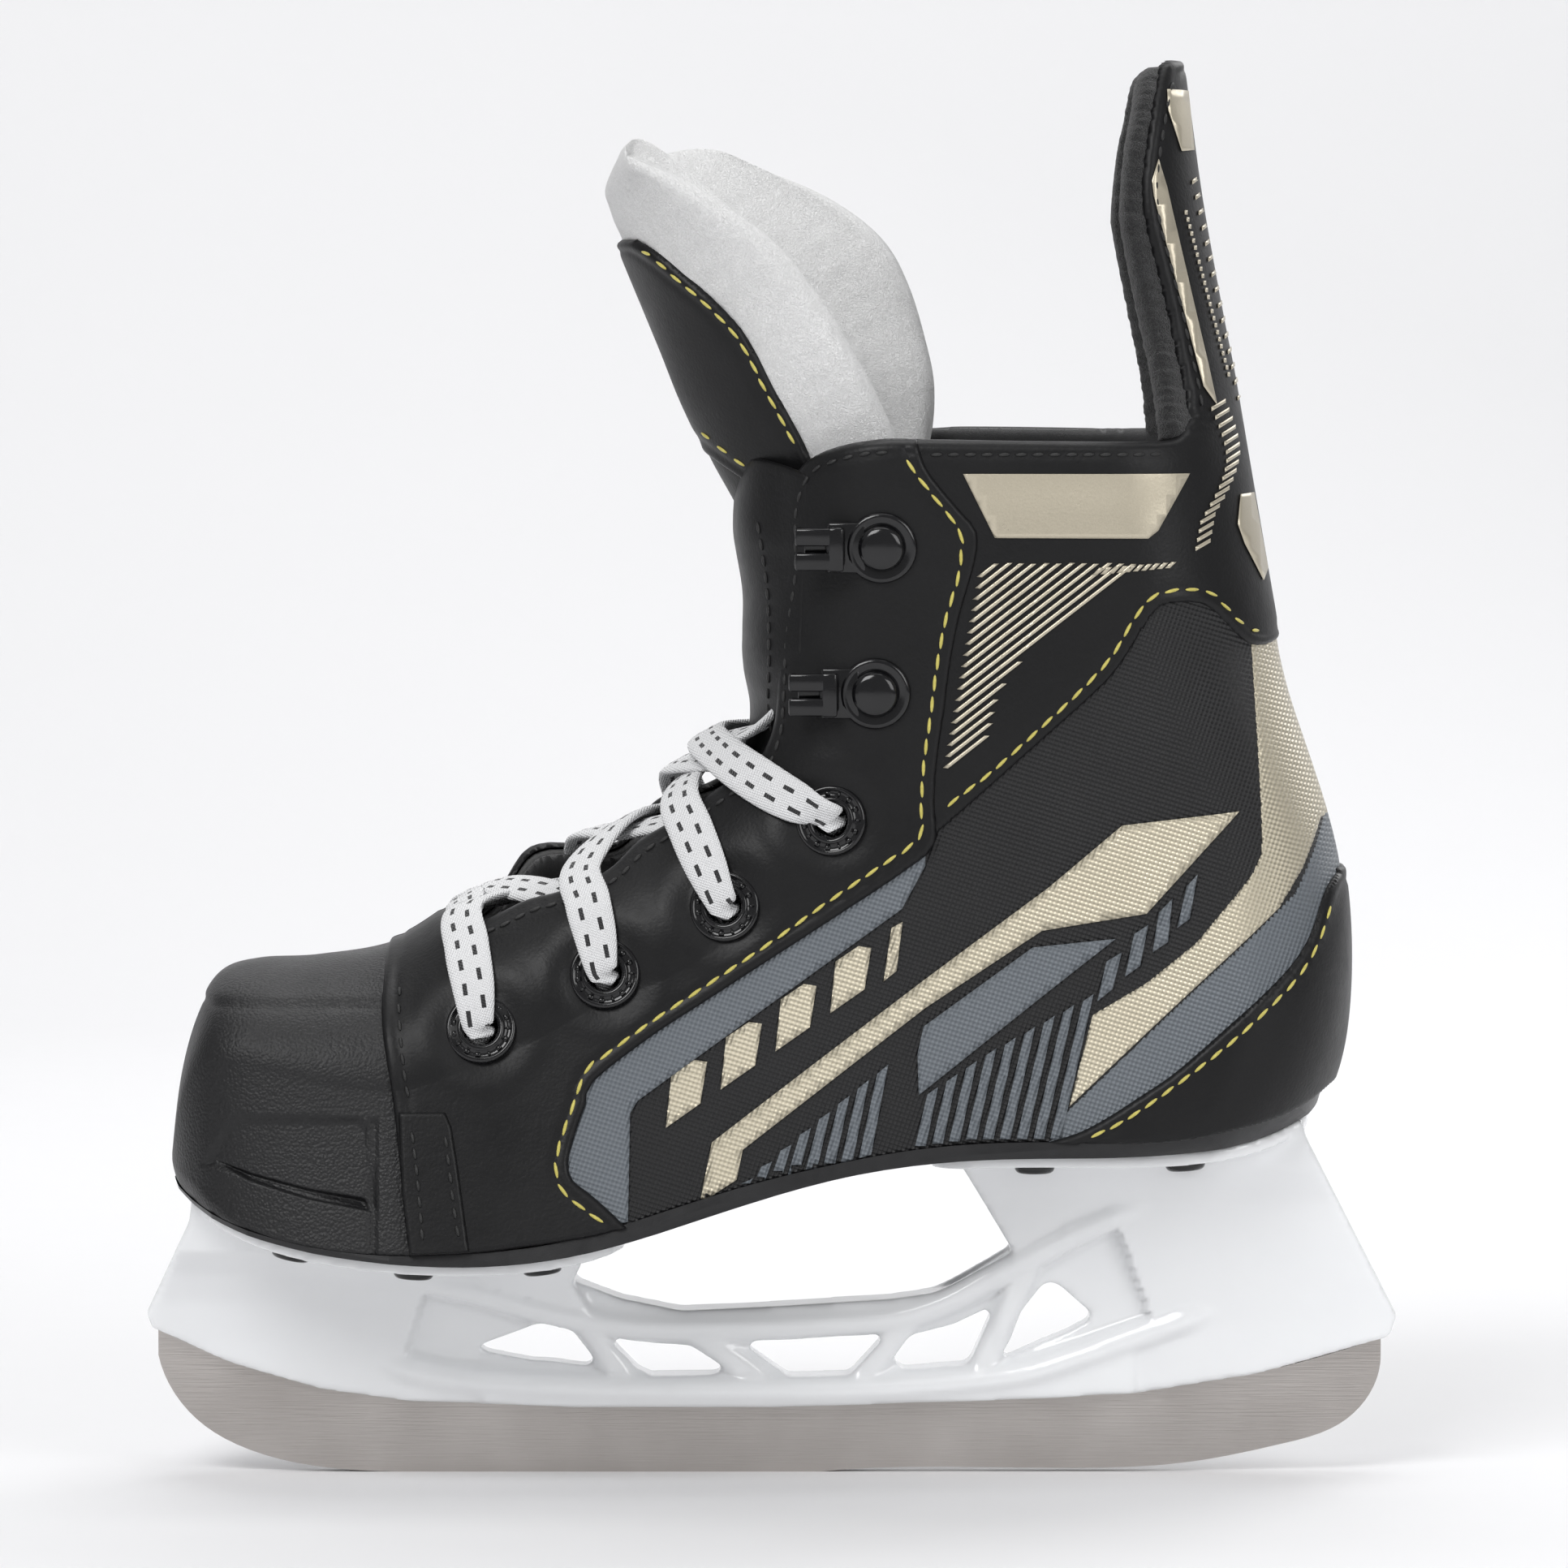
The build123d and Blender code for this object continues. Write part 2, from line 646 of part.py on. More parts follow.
# ---------------------------------------------------------------- vamp tabs
tab_outline = [
    (-59.4, 30), (-60.2, 55), (-60.8, 62.5), (-53, 62.5), (-52, 60), (-50, 47), (-49, 30),
]
tab_thick = 0.9
tabs = common(boot_form(-tab_thick) - form_skin, above_solid(feather_line, 0.2), side_solid(tab_outline))
for side, half in halves.items():
    write(common(tabs, half), f"vamp_tab_{side}")

# ---------------------------------------------------------------- tongue
strip_half = 10.5
strip_set_back = 4.0  # from the throat's front end
face_thick = 1.6
tongue_lean = 22.4
pivot_x, pivot_z = tongue_pivot
wedge_slope = tan(radians(tongue_back_tilt + 2))
tongue_lower_side = [
    (-60, 95), (-60, 74), (-40, 80), (-22, 90), (-5, 102), (6, 113), (13, 128), (15, 145),
    (15, pivot_z - (15 - pivot_x) * wedge_slope), (pivot_x, pivot_z - 0.3), (-14, 150),
    (-14, 130), (-30, 118),
]
throat_front = [
    (-6, 140), (-5.5, 152), (pivot_x + 0.2, pivot_z - 0.3), (2, pivot_z - 0.3 - 11 * wedge_slope),
    (2, 140),
]
form_tongue = boot_form(tongue_inset)
form_tongue_inner = boot_form(tongue_inset + felt)
tongue_lower_block = side_solid(tongue_lower_side)
felt_lower = common(form_tongue - form_tongue_inner, tongue_lower_block)
with BuildPart() as strip:
    with BuildSketch(Plane.XY.offset(74)):
        with Locations(((gap_front + strip_set_back + gap_back) / 2, 0)):
            RectangleRounded(gap_back - gap_front - strip_set_back, 2 * strip_half, 9.0)
    extrude(amount=120)
strip_lower = common(boot_form(0.4) - form_tongue, tongue_lower_block, strip.part)
strip_lower = strip_lower + (side_solid(throat_front, strip_half) - form_tongue)
write(Part(felt_lower.solids()), "tongue_felt_lower")
write(Part(strip_lower.solids()), "tongue_face_lower")


def tongue_form(inset):
    """Closed form of the upper tongue, leaning forward, drawn in by inset."""
    up = Vector(-sin(radians(tongue_lean)), 0, cos(radians(tongue_lean)))
    back = Vector(cos(radians(tongue_lean)), 0, sin(radians(tongue_lean)))
    stations = [
        # distance up the tongue, front half width, front rounding, back half width, depth
        (-14, 11.5, 10.5, 17.0, 46.0),
        (10, 15.0, 12.0, 20.0, 48.0),
        (60, 22.0, 15.0, 27.0, 50.0),
    ]
    with BuildPart() as form:
        for rise, front_w, front_r, back_w, depth in stations:
            start = Vector(pivot_x, 0, pivot_z) + up * rise + back * inset
            with BuildSketch(Plane(start, x_dir=(0, -1, 0), z_dir=up)):
                with BuildLine():
                    nose = EllipticalCenterArc((0, front_r - inset), front_w - inset, front_r - inset, 270)
                    Polyline(nose @ 1, (back_w - inset, depth), (0, depth))
                    mirror(about=Plane.YZ)
                make_face()
        loft(ruled=True)
    return form.part


face_upper_side = [
    (-14, 167.8), (-34, 200), (-24, 205), (-21.5, 204.7), (-15, 199.5), (-5, 190), (0, 181),
    (6.3, 169), (6.5, 167.8),
]
felt_upper_side = [
    (-14, 167.8), (-44, 214), (-28, 214.5), (-25, 217.5), (-17, 215), (-7, 209), (5, 198),
    (15, 182), (20.5, 172.5), (21, 167.8),
]
tongue_outer = tongue_form(0)
tongue_middle = tongue_form(face_thick)
tongue_inner = tongue_form(face_thick + felt)
write(common(tongue_outer - tongue_middle, side_solid(face_upper_side)), "tongue_face_upper")
write(common(tongue_middle - tongue_inner, side_solid(felt_upper_side)), "tongue_felt_upper")

# ---------------------------------------------------------------- tendon guard
guard_stiffener = 1.2
guard_felt = 5.0
hinge_x, hinge_z = guard_pivot
guard_floor = hinge_z + (hinge_x - 50) * tan(radians(guard_front_tilt + 1.5))
guard_stations = [
    # z, back x, arc end x, half width
    (170, 78.0, 60.0, 25.0),
    (190, 74.5, 59.0, 22.0),
    (210, 70.8, 56.5, 20.5),
    (224, 68.9, 58.0, 17.5),
    (234.3, 67.5, 61.0, 11.0),
]
guard_skin_side = [
    (68, 172), (66.5, 183), (65, 192), (63, 200), (61.5, 207), (60.5, 213), (63, 228), (64, 240),
    (90, 240), (90, 172),
]
guard_felt_side = [
    (65, 172), (63, 183), (60, 194), (57, 206), (56.8, 210), (58, 220), (59.5, 225),
    (61.5, 233.4), (90, 233.4), (90, 172),
]
above_guard_gap = side_solid([(50, guard_floor), (hinge_x, hinge_z), (95, hinge_z), (95, 250), (50, 250)])


def guard_form(inset):
    """Closed form of the tendon guard, its back drawn in by inset and its front open."""
    with BuildPart() as form:
        for z, back, end, half in guard_stations:
            width = half - inset
            with BuildSketch(Plane.XY.offset(z)):
                with BuildLine():
                    ThreePointArc((end, -width), (back - inset, 0), (end, width))
                    Polyline((end, width), (end - 15, width), (end - 15, -width), (end, -width))
                make_face()
        loft(ruled=True)
    return form.part


guard_layers = [0, skin, skin + guard_stiffener, skin + guard_stiffener + guard_felt]
guard_forms = [guard_form(inset) for inset in guard_layers]
guard_sides = [guard_skin_side, guard_skin_side, guard_felt_side]
guard_names = ["tendon_guard_skin", "tendon_guard_stiffener", "tendon_guard_felt"]
for outer, inner, outline, name in zip(guard_forms, guard_forms[1:], guard_sides, guard_names):
    write(common(outer - inner, side_solid(outline), above_guard_gap), name)

# ---------------------------------------------------------------- lace
lace_r = 1.0
lace_under = wall + 1.3  # strand between lining and tongue
lace_out = -2.6  # strand just outside an eyelet
lace_climb = -2.3
over_lift = 2.7  # the half that crosses on top
tip_r = 1.5
tip_length = 18.0

# Each crossing of the throat: over the edge, middle, down past the far edge, under the facing.
# y is positive on the side that the strand comes from.
crossings = [
    [(-46.5, 15.5, 98.5), (-39.5, 0.0, 105.0), (-33.0, -12.5, 103.0), (-31.0, -13.5, 95.5)],
    [(-26.0, 15.5, 109.0), (-19.0, 0.0, 116.5), (-13.0, -12.5, 115.5), (-10.5, -13.5, 107.0)],
    [(-14.0, 15.8, 118.0), (-13.0, 0.0, 121.5), (-5.5, -12.5, 122.5), (2.5, -13.6, 117.0)],
    [(-3.5, 16.0, 124.5), (-8.5, 0.0, 129.0), (-4.0, -12.5, 130.5), (4.5, -13.4, 128.5)],
]


def surface_point(x, z, side, depth):
    """Point at a depth under the boot's outer face at (x, z)."""
    plane = at_surface(x, z, side)
    return plane.origin - plane.z_dir * depth


def corner_radii(points, largest):
    """Arc radius at each inner corner of a route, as large as its two runs allow."""
    radii = []
    for before, corner, after in zip(points, points[1:], points[2:]):
        shorter = min((corner - before).length, (after - corner).length)
        turn = (corner - before).get_angle(after - corner)
        radii.append(min(0.45 * shorter / tan(radians(turn / 2)), largest))
    return radii


def cord(points, radius, largest):
    """Tube along straight runs joined by tangent arcs."""
    radii = corner_radii(points, largest)
    with BuildPart() as tube:
        with BuildLine() as path:
            FilletPolyline(*points, radius=radii)
        wire = path.wire()
        with BuildSketch(Plane(wire @ 0, z_dir=wire % 0)):
            Circle(radius)
        sweep()
    print("cord length", round(wire.length, 1), "arcs", [round(r, 1) for r in radii])
    return tube.part


def laced_half(side):
    """Route of one half of the lace, from the middle of the bottom bar to its last crossing."""
    other = {"lateral": "medial", "medial": "lateral"}
    sign = {"lateral": -1, "medial": 1}
    lift = Vector(-0.45, 0, 0.9) * (over_lift if side == "medial" else 0)
    points = [Vector(-51, 0, 97.5), Vector(-50.5, sign[side] * 9, 96.5), Vector(-49, sign[side] * 13, 88)]
    here = side
    for (x, z), crossing in zip(eyelets_xz, crossings):
        edge, middle, dive, under = crossing
        climb = ((x + edge[0]) / 2, (z + edge[2]) / 2)
        points.append(surface_point(x, z, here, lace_under))
        points.append(surface_point(x, z, here, lace_out))
        points.append(surface_point(*climb, here, lace_climb))
        for spot, raised in [(edge, 0), (middle, 1), (dive, 0), (under, 0)]:
            points.append(Vector(spot[0], spot[1] * sign[here], spot[2]) + lift * raised)
        here = other[here]
    return points, here


# Free tails, tucked down beside the tongue and folded back under the toe cap.
# (x, y, z), y positive on the side that the tail goes down.
tail_drop = [
    (11.0, 125.0, 7.2), (19.0, 116.0, 7.6), (24.0, 105.0, 9.0), (24.0, 92.0, 11.0), (19.0, 79.0, 12.0),
]
tail_floor = {
    "lateral": [
        (9.0, 19.0, 65.0), (-8.0, 22.0, 58.6), (-26.0, 24.5, 52.4), (-46.0, 25.0, 48.2),
        (-64.0, 22.0, 48.0), (-74.5, 12.5, 48.9), (-76.0, 0.5, 49.2), (-68.5, -9.5, 48.4),
        (-54.0, -12.5, 47.9), (-36.0, -12.0, 49.6), (-18.0, -12.5, 54.8),
    ],
    "medial": [
        (9.0, 19.0, 65.0), (-8.0, 22.0, 58.6), (-26.0, 24.5, 52.4), (-44.0, 25.0, 49.4),
        (-60.0, 21.5, 51.4), (-68.5, 12.5, 52.8), (-70.0, 1.5, 53.0), (-64.0, -7.5, 52.2),
        (-52.0, -12.0, 50.4), (-35.0, -13.0, 51.0), (-17.0, -12.0, 56.0),
    ],
}
laces, side_of_tail = [], {"lateral": -1, "medial": 1}
for start_side in halves:
    route, side = laced_half(start_side)
    laces.append(cord(route, lace_r, 3.0))
    sign = side_of_tail[side]
    tail = [route[-1]]
    tail += [surface_point(x, z, side, depth) for x, z, depth in tail_drop]
    tail += [Vector(x, y * sign, z) for x, y, z in tail_floor[side]]
    write(cord(tail, lace_r, 60.0), f"lace_tail_{side}")
    print("tail route", side, [tuple(round(v, 1) for v in point) for point in tail])
    along = (tail[-1] - tail[-2]).normalized()
    with BuildPart() as tip:
        with BuildSketch(Plane(tail[-1], z_dir=along)):
            Circle(tip_r)
        extrude(amount=tip_length)
        fillet(tip.edges().sort_by(Axis(tail[-1], along))[-1:], 0.8)
    write(tip.part, f"lace_tip_{side}")
write(Compound(children=laces), "lace")
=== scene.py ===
"""Looks of a youth hockey skate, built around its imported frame."""
import json
import logging
import math
from dataclasses import dataclass, field
from enum import Enum
from typing import Callable, Iterable

import bmesh
import bpy
import numpy as np
from mathutils import Matrix, Vector
from mathutils.bvhtree import BVHTree

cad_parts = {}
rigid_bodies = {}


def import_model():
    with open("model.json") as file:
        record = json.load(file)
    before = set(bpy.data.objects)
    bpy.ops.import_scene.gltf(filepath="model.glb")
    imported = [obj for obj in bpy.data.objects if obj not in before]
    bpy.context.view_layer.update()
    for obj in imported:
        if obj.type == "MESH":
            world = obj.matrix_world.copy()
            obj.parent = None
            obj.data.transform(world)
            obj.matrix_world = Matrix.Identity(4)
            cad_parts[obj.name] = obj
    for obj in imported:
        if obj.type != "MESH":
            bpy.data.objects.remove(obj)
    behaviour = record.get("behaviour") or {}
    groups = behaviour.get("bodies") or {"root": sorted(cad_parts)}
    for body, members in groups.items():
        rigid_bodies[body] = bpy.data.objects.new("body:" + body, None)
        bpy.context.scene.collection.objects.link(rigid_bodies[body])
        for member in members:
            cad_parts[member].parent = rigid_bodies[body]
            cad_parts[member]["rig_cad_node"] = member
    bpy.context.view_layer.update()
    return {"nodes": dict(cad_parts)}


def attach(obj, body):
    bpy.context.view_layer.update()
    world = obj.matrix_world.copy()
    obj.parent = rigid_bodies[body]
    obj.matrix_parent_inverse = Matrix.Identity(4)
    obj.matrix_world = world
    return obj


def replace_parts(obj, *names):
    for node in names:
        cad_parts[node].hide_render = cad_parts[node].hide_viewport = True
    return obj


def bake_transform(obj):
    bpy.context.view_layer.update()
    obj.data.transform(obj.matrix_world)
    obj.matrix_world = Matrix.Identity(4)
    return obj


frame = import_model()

MM = 0.001
Point = tuple[float, ...]
Path = list[Point]
Colour = tuple[float, float, float]
log = logging.getLogger("skate")


class Side(Enum):
    """Outer and inner side of this left skate."""

    LATERAL = "lateral"
    MEDIAL = "medial"

    @property
    def sign(self) -> int:
        """Direction of the side along Y."""
        return -1 if self is Side.LATERAL else 1


# ---------------------------------------------------------------- curves and outlines
def smooth_path(points: Path, step: float = 1.0) -> np.ndarray:
    """Draw a smooth curve through points.

    Args:
        points: Points to pass through, in two or more dimensions.
        step: Longest distance between two points of the curve.

    Returns:
        The curve's points as an array.
    """
    given = np.array(points, float)
    padded = np.vstack([2 * given[0] - given[1], given, 2 * given[-1] - given[-2]])
    runs = []
    for before, start, end, after in zip(padded, padded[1:], padded[2:], padded[3:]):
        count = max(2, int(math.ceil(np.linalg.norm(end - start) / step)))
        t = np.linspace(0, 1, count, endpoint=False)[:, None]
        runs.append(0.5 * (
            2 * start + (end - before) * t
            + (2 * before - 5 * start + 4 * end - after) * t ** 2
            + (3 * start - before - 3 * end + after) * t ** 3
        ))
    runs.append(given[-1:])
    return np.vstack(runs)


def even_path(line: np.ndarray, spacing: float) -> np.ndarray:
    """Resample a line so that its points stand evenly.

    Args:
        line: Points of the line.
        spacing: Wanted distance between points.

    Returns:
        The evenly spaced points.
    """
    lengths = np.linalg.norm(np.diff(line, axis=0), axis=1)
    along = np.concatenate([[0], np.cumsum(lengths)])
    count = max(2, int(round(along[-1] / spacing)) + 1)
    wanted = np.linspace(0, along[-1], count)
    return np.stack([np.interp(wanted, along, line[:, i]) for i in range(line.shape[1])], 1)


def distance_to(points: np.ndarray, line: np.ndarray) -> np.ndarray:
    """Measure how far points are from a line in the side view.

    Args:
        points: Points (x, z).
        line: Points (x, z) of the line.

    Returns:
        One distance for each point.
    """
    nearest = np.full(len(points), 1e9)
    for start, end in zip(line, line[1:]):
        run = end - start
        t = np.clip(((points - start) @ run) / max(run @ run, 1e-12), 0, 1)
        nearest = np.minimum(nearest, np.linalg.norm(points - (start + t[:, None] * run), axis=1))
    return nearest


def inside(points: np.ndarray, outline: np.ndarray) -> np.ndarray:
    """Test which points lie inside a closed outline.

    Args:
        points: Points (x, z).
        outline: Corners (x, z) in order.

    Returns:
        True for each point inside.
    """
    result = np.zeros(len(points), bool)
    x, z = points[:, 0], points[:, 1]
    for (xa, za), (xb, zb) in zip(outline, np.roll(outline, -1, axis=0)):
        crosses = (za > z) != (zb > z)
        rise = (zb - za) or 1e-12
        result ^= crosses & (x < (xb - xa) * (z - za) / rise + xa)
    return result


# ---------------------------------------------------------------- shader node groups
class NodeSheet:
    """Short ways to wire one shader tree."""

    def __init__(self, tree: bpy.types.NodeTree) -> None:
        """Keep the tree to work on."""
        self.tree = tree

    def add(self, kind: str, **settings: object) -> bpy.types.Node:
        """Add a node and set its properties or its named inputs.

        Args:
            kind: Blender's name of the node type.
            **settings: Properties, or input values by socket name.

        Returns:
            The new node.
        """
        node = self.tree.nodes.new(kind)
        for name, value in settings.items():
            if hasattr(node, name):
                setattr(node, name, value)
            else:
                node.inputs[name.replace("_", " ")].default_value = value
        return node

    def link(self, source: bpy.types.NodeSocket, target: bpy.types.NodeSocket) -> None:
        """Join two sockets."""
        self.tree.links.new(source, target)

    def maths(self, operation: str, *values: object) -> bpy.types.NodeSocket:
        """Add a Math node.

        Args:
            operation: Name of the operation.
            *values: Sockets or numbers, in order.

        Returns:
            The node's output.
        """
        node = self.add("ShaderNodeMath", operation=operation)
        for target, value in zip(node.inputs, values):
            if isinstance(value, (int, float)):
                target.default_value = value
            else:
                self.link(value, target)
        return node.outputs[0]

    def position(self, scale: Colour = (1.0, 1.0, 1.0)) -> bpy.types.NodeSocket:
        """Object coordinates in millimetres, stretched by a scale."""
        coordinates = self.add("ShaderNodeTexCoord")
        mapping = self.add("ShaderNodeMapping")
        mapping.inputs["Scale"].default_value = [s / MM for s in scale]
        self.link(coordinates.outputs["Object"], mapping.inputs["Vector"])
        return mapping.outputs[0]


class Effect(Enum):
    """Shared effects that materials are made of."""

    GRAIN = "grain"
    WEAVE = "weave"
    MOTTLE = "mottle"
    BRUSH = "brush"
    FUZZ = "fuzz"


class EffectLibrary:
    """Builds each shared node group once."""

    def __init__(self) -> None:
        """Start with no groups."""
        self.groups: dict[Effect, bpy.types.NodeTree] = {}
        self.makers: dict[Effect, Callable[[NodeSheet], tuple]] = {
            Effect.GRAIN: self.grain, Effect.WEAVE: self.weave, Effect.MOTTLE: self.mottle,
            Effect.BRUSH: self.brush, Effect.FUZZ: self.fuzz,
        }

    def get(self, effect: Effect) -> bpy.types.NodeTree:
        """Return the group of an effect, built on first use."""
        if effect not in self.groups:
            tree = bpy.data.node_groups.new(f"skate_{effect.value}", "ShaderNodeTree")
            tree.interface.new_socket("Size", in_out="INPUT", socket_type="NodeSocketFloat")
            for name in ("Height", "Mask"):
                tree.interface.new_socket(name, in_out="OUTPUT", socket_type="NodeSocketFloat")
            sheet = NodeSheet(tree)
            sheet.size = sheet.add("NodeGroupInput").outputs["Size"]
            height, mask = self.makers[effect](sheet)
            out = sheet.add("NodeGroupOutput")
            sheet.link(height, out.inputs["Height"])
            sheet.link(mask, out.inputs["Mask"])
            self.groups[effect] = tree
        return self.groups[effect]

    def noise(self, sheet: NodeSheet, place: object, size: object, detail: float) -> object:
        """Add noise whose feature size is a socket or number, in millimetres."""
        node = sheet.add("ShaderNodeTexNoise", Detail=detail)
        sheet.link(place, node.inputs["Vector"])
        sheet.link(sheet.maths("DIVIDE", 1.0, size), node.inputs["Scale"])
        return node.outputs["Fac"]

    def grain(self, sheet: NodeSheet) -> tuple:
        """Pebbled skin: rounded cells of one size with finer noise over them."""
        place = sheet.position()
        cells = sheet.add("ShaderNodeTexVoronoi", feature="SMOOTH_F1", Smoothness=0.6)
        sheet.link(place, cells.inputs["Vector"])
        sheet.link(sheet.maths("DIVIDE", 1.0, sheet.size), cells.inputs["Scale"])
        dome = sheet.maths("SUBTRACT", 1.0, cells.outputs["Distance"])
        fine = self.noise(sheet, place, sheet.maths("MULTIPLY", sheet.size, 0.4), 3.0)
        return sheet.maths("ADD", dome, sheet.maths("MULTIPLY", fine, 0.5)), fine

    def weave(self, sheet: NodeSheet) -> tuple:
        """Embossed weave: a diagonal lattice of small raised bars."""
        apart = sheet.add("ShaderNodeSeparateXYZ")
        sheet.link(sheet.position(), apart.inputs[0])
        x, z = apart.outputs["X"], apart.outputs["Z"]
        turn = sheet.maths("DIVIDE", 2 * math.pi, sheet.size)
        lean = sheet.maths("ADD", x, sheet.maths("MULTIPLY", z, 0.45))
        across = sheet.maths("SINE", sheet.maths("MULTIPLY", lean, turn))
        rise = sheet.maths("SUBTRACT", z, sheet.maths("MULTIPLY", x, 0.55))
        up = sheet.maths("SINE", sheet.maths("MULTIPLY", rise, turn))
        height = sheet.maths("MULTIPLY", across, up)
        return height, sheet.maths("SMOOTH_MIN",
                                   sheet.maths("ADD", sheet.maths("MULTIPLY", height, 0.5), 0.5), 1.0, 0.1)

    def mottle(self, sheet: NodeSheet) -> tuple:
        """Slow uneven variation with some finer marks."""
        place = sheet.position()
        broad = self.noise(sheet, place, sheet.size, 4.0)
        fine = self.noise(sheet, place, sheet.maths("MULTIPLY", sheet.size, 0.12), 2.0)
        return sheet.maths("ADD", sheet.maths("MULTIPLY", broad, 0.75),
                           sheet.maths("MULTIPLY", fine, 0.25)), broad

    def brush(self, sheet: NodeSheet) -> tuple:
        """Fine lines that run along the blade."""
        place = sheet.position((0.03, 1.0, 1.0))
        lines = self.noise(sheet, place, sheet.size, 3.0)
        cloud = self.noise(sheet, sheet.position(), sheet.maths("MULTIPLY", sheet.size, 60.0), 2.0)
        return lines, cloud

    def fuzz(self, sheet: NodeSheet) -> tuple:
        """Felted fibres: soft tangled noise at two sizes."""
        place = sheet.position()
        warped = sheet.add("ShaderNodeTexNoise", Detail=4.0, Distortion=1.6)
        sheet.link(place, warped.inputs["Vector"])
        sheet.link(sheet.maths("DIVIDE", 1.0, sheet.size), warped.inputs["Scale"])
        clump = self.noise(sheet, place, sheet.maths("MULTIPLY", sheet.size, 6.0), 2.0)
        height = sheet.maths("ADD", warped.outputs["Fac"], sheet.maths("MULTIPLY", clump, 0.8))
        return height, clump


EFFECTS = EffectLibrary()


# ---------------------------------------------------------------- finishes
@dataclass(frozen=True)
class Finish:
    """One finish: a varying colour and roughness, with bump from a shared effect.

    Attributes:
        slot: The record's material slot that the finish belongs to.
        dark: Colour in the hollows, linear.
        light: Colour on the high places, linear.
        rough: Lowest and highest roughness.
        effect: Shared effect that gives the bump and the colour mask.
        size: Size of the effect's features in millimetres.
        depth: Height of the bump in millimetres.
    """

    slot: str
    dark: Colour
    light: Colour
    rough: tuple[float, float] = (0.4, 0.5)
    effect: Effect = Effect.MOTTLE
    size: float = 1.0
    depth: float = 0.05
    metallic: float = 0.0
    coat: float = 0.0
    coat_rough: float = 0.1
    sheen: float = 0.0
    subsurface: float = 0.0
    specular: float = 0.5
    second: Effect | None = None
    second_size: float = 1.0
    second_depth: float = 0.05

    def bump(self, sheet: NodeSheet, height: object, depth: float, under: object) -> object:
        """Add one bump on top of another normal and return its normal."""
        node = sheet.add("ShaderNodeBump")
        node.inputs["Strength"].default_value = 1.0
        node.inputs["Distance"].default_value = depth * MM
        sheet.link(height, node.inputs["Height"])
        if under is not None:
            sheet.link(under, node.inputs["Normal"])
        return node.outputs["Normal"]

    def effect_node(self, sheet: NodeSheet, effect: Effect, size: float) -> bpy.types.Node:
        """Place one shared effect in the material."""
        node = sheet.add("ShaderNodeGroup", node_tree=EFFECTS.get(effect))
        node.inputs["Size"].default_value = size
        return node

    def make(self, name: str) -> bpy.types.Material:
        """Build the material.

        Args:
            name: Name of the material.

        Returns:
            The material.
        """
        material = bpy.data.materials.new(name)
        material.use_nodes = True
        sheet = NodeSheet(material.node_tree)
        shader = material.node_tree.nodes["Principled BSDF"]
        main = self.effect_node(sheet, self.effect, self.size)
        blotch = self.effect_node(sheet, Effect.MOTTLE, 14.0)
        mask = self.colour_mask(sheet, main)
        mix = sheet.add("ShaderNodeMix", data_type="RGBA")
        mix.inputs[6].default_value = (*self.dark, 1)
        mix.inputs[7].default_value = (*self.light, 1)
        sheet.link(mask, mix.inputs[0])
        self.paint(sheet, mix.outputs[2], shader)
        spread = sheet.add("ShaderNodeMapRange")
        spread.inputs["From Min"].default_value = 0.3
        spread.inputs["From Max"].default_value = 0.7
        spread.inputs["To Min"].default_value = self.rough[0]
        spread.inputs["To Max"].default_value = self.rough[1]
        sheet.link(blotch.outputs["Height"], spread.inputs["Value"])
        sheet.link(spread.outputs[0], shader.inputs["Roughness"])
        normal = self.bump(sheet, main.outputs["Height"], self.depth, None)
        if self.second:
            other = self.effect_node(sheet, self.second, self.second_size)
            normal = self.bump(sheet, other.outputs["Height"], self.second_depth, normal)
        sheet.link(normal, shader.inputs["Normal"])
        shader.inputs["Metallic"].default_value = self.metallic
        shader.inputs["Coat Weight"].default_value = self.coat
        shader.inputs["Coat Roughness"].default_value = self.coat_rough
        shader.inputs["Sheen Weight"].default_value = self.sheen
        shader.inputs["Specular IOR Level"].default_value = self.specular
        shader.inputs["Subsurface Weight"].default_value = self.subsurface
        shader.inputs["Subsurface Radius"].default_value = (0.002, 0.002, 0.002)
        return material

    def colour_mask(self, sheet: NodeSheet, main: bpy.types.Node) -> object:
        """Mask that mixes the dark and the light colour."""
        return main.outputs["Mask"]

    def paint(self, sheet: NodeSheet, colour: object, shader: bpy.types.Node) -> None:
        """Send the mixed colour to the shader."""
        sheet.link(colour, shader.inputs["Base Color"])


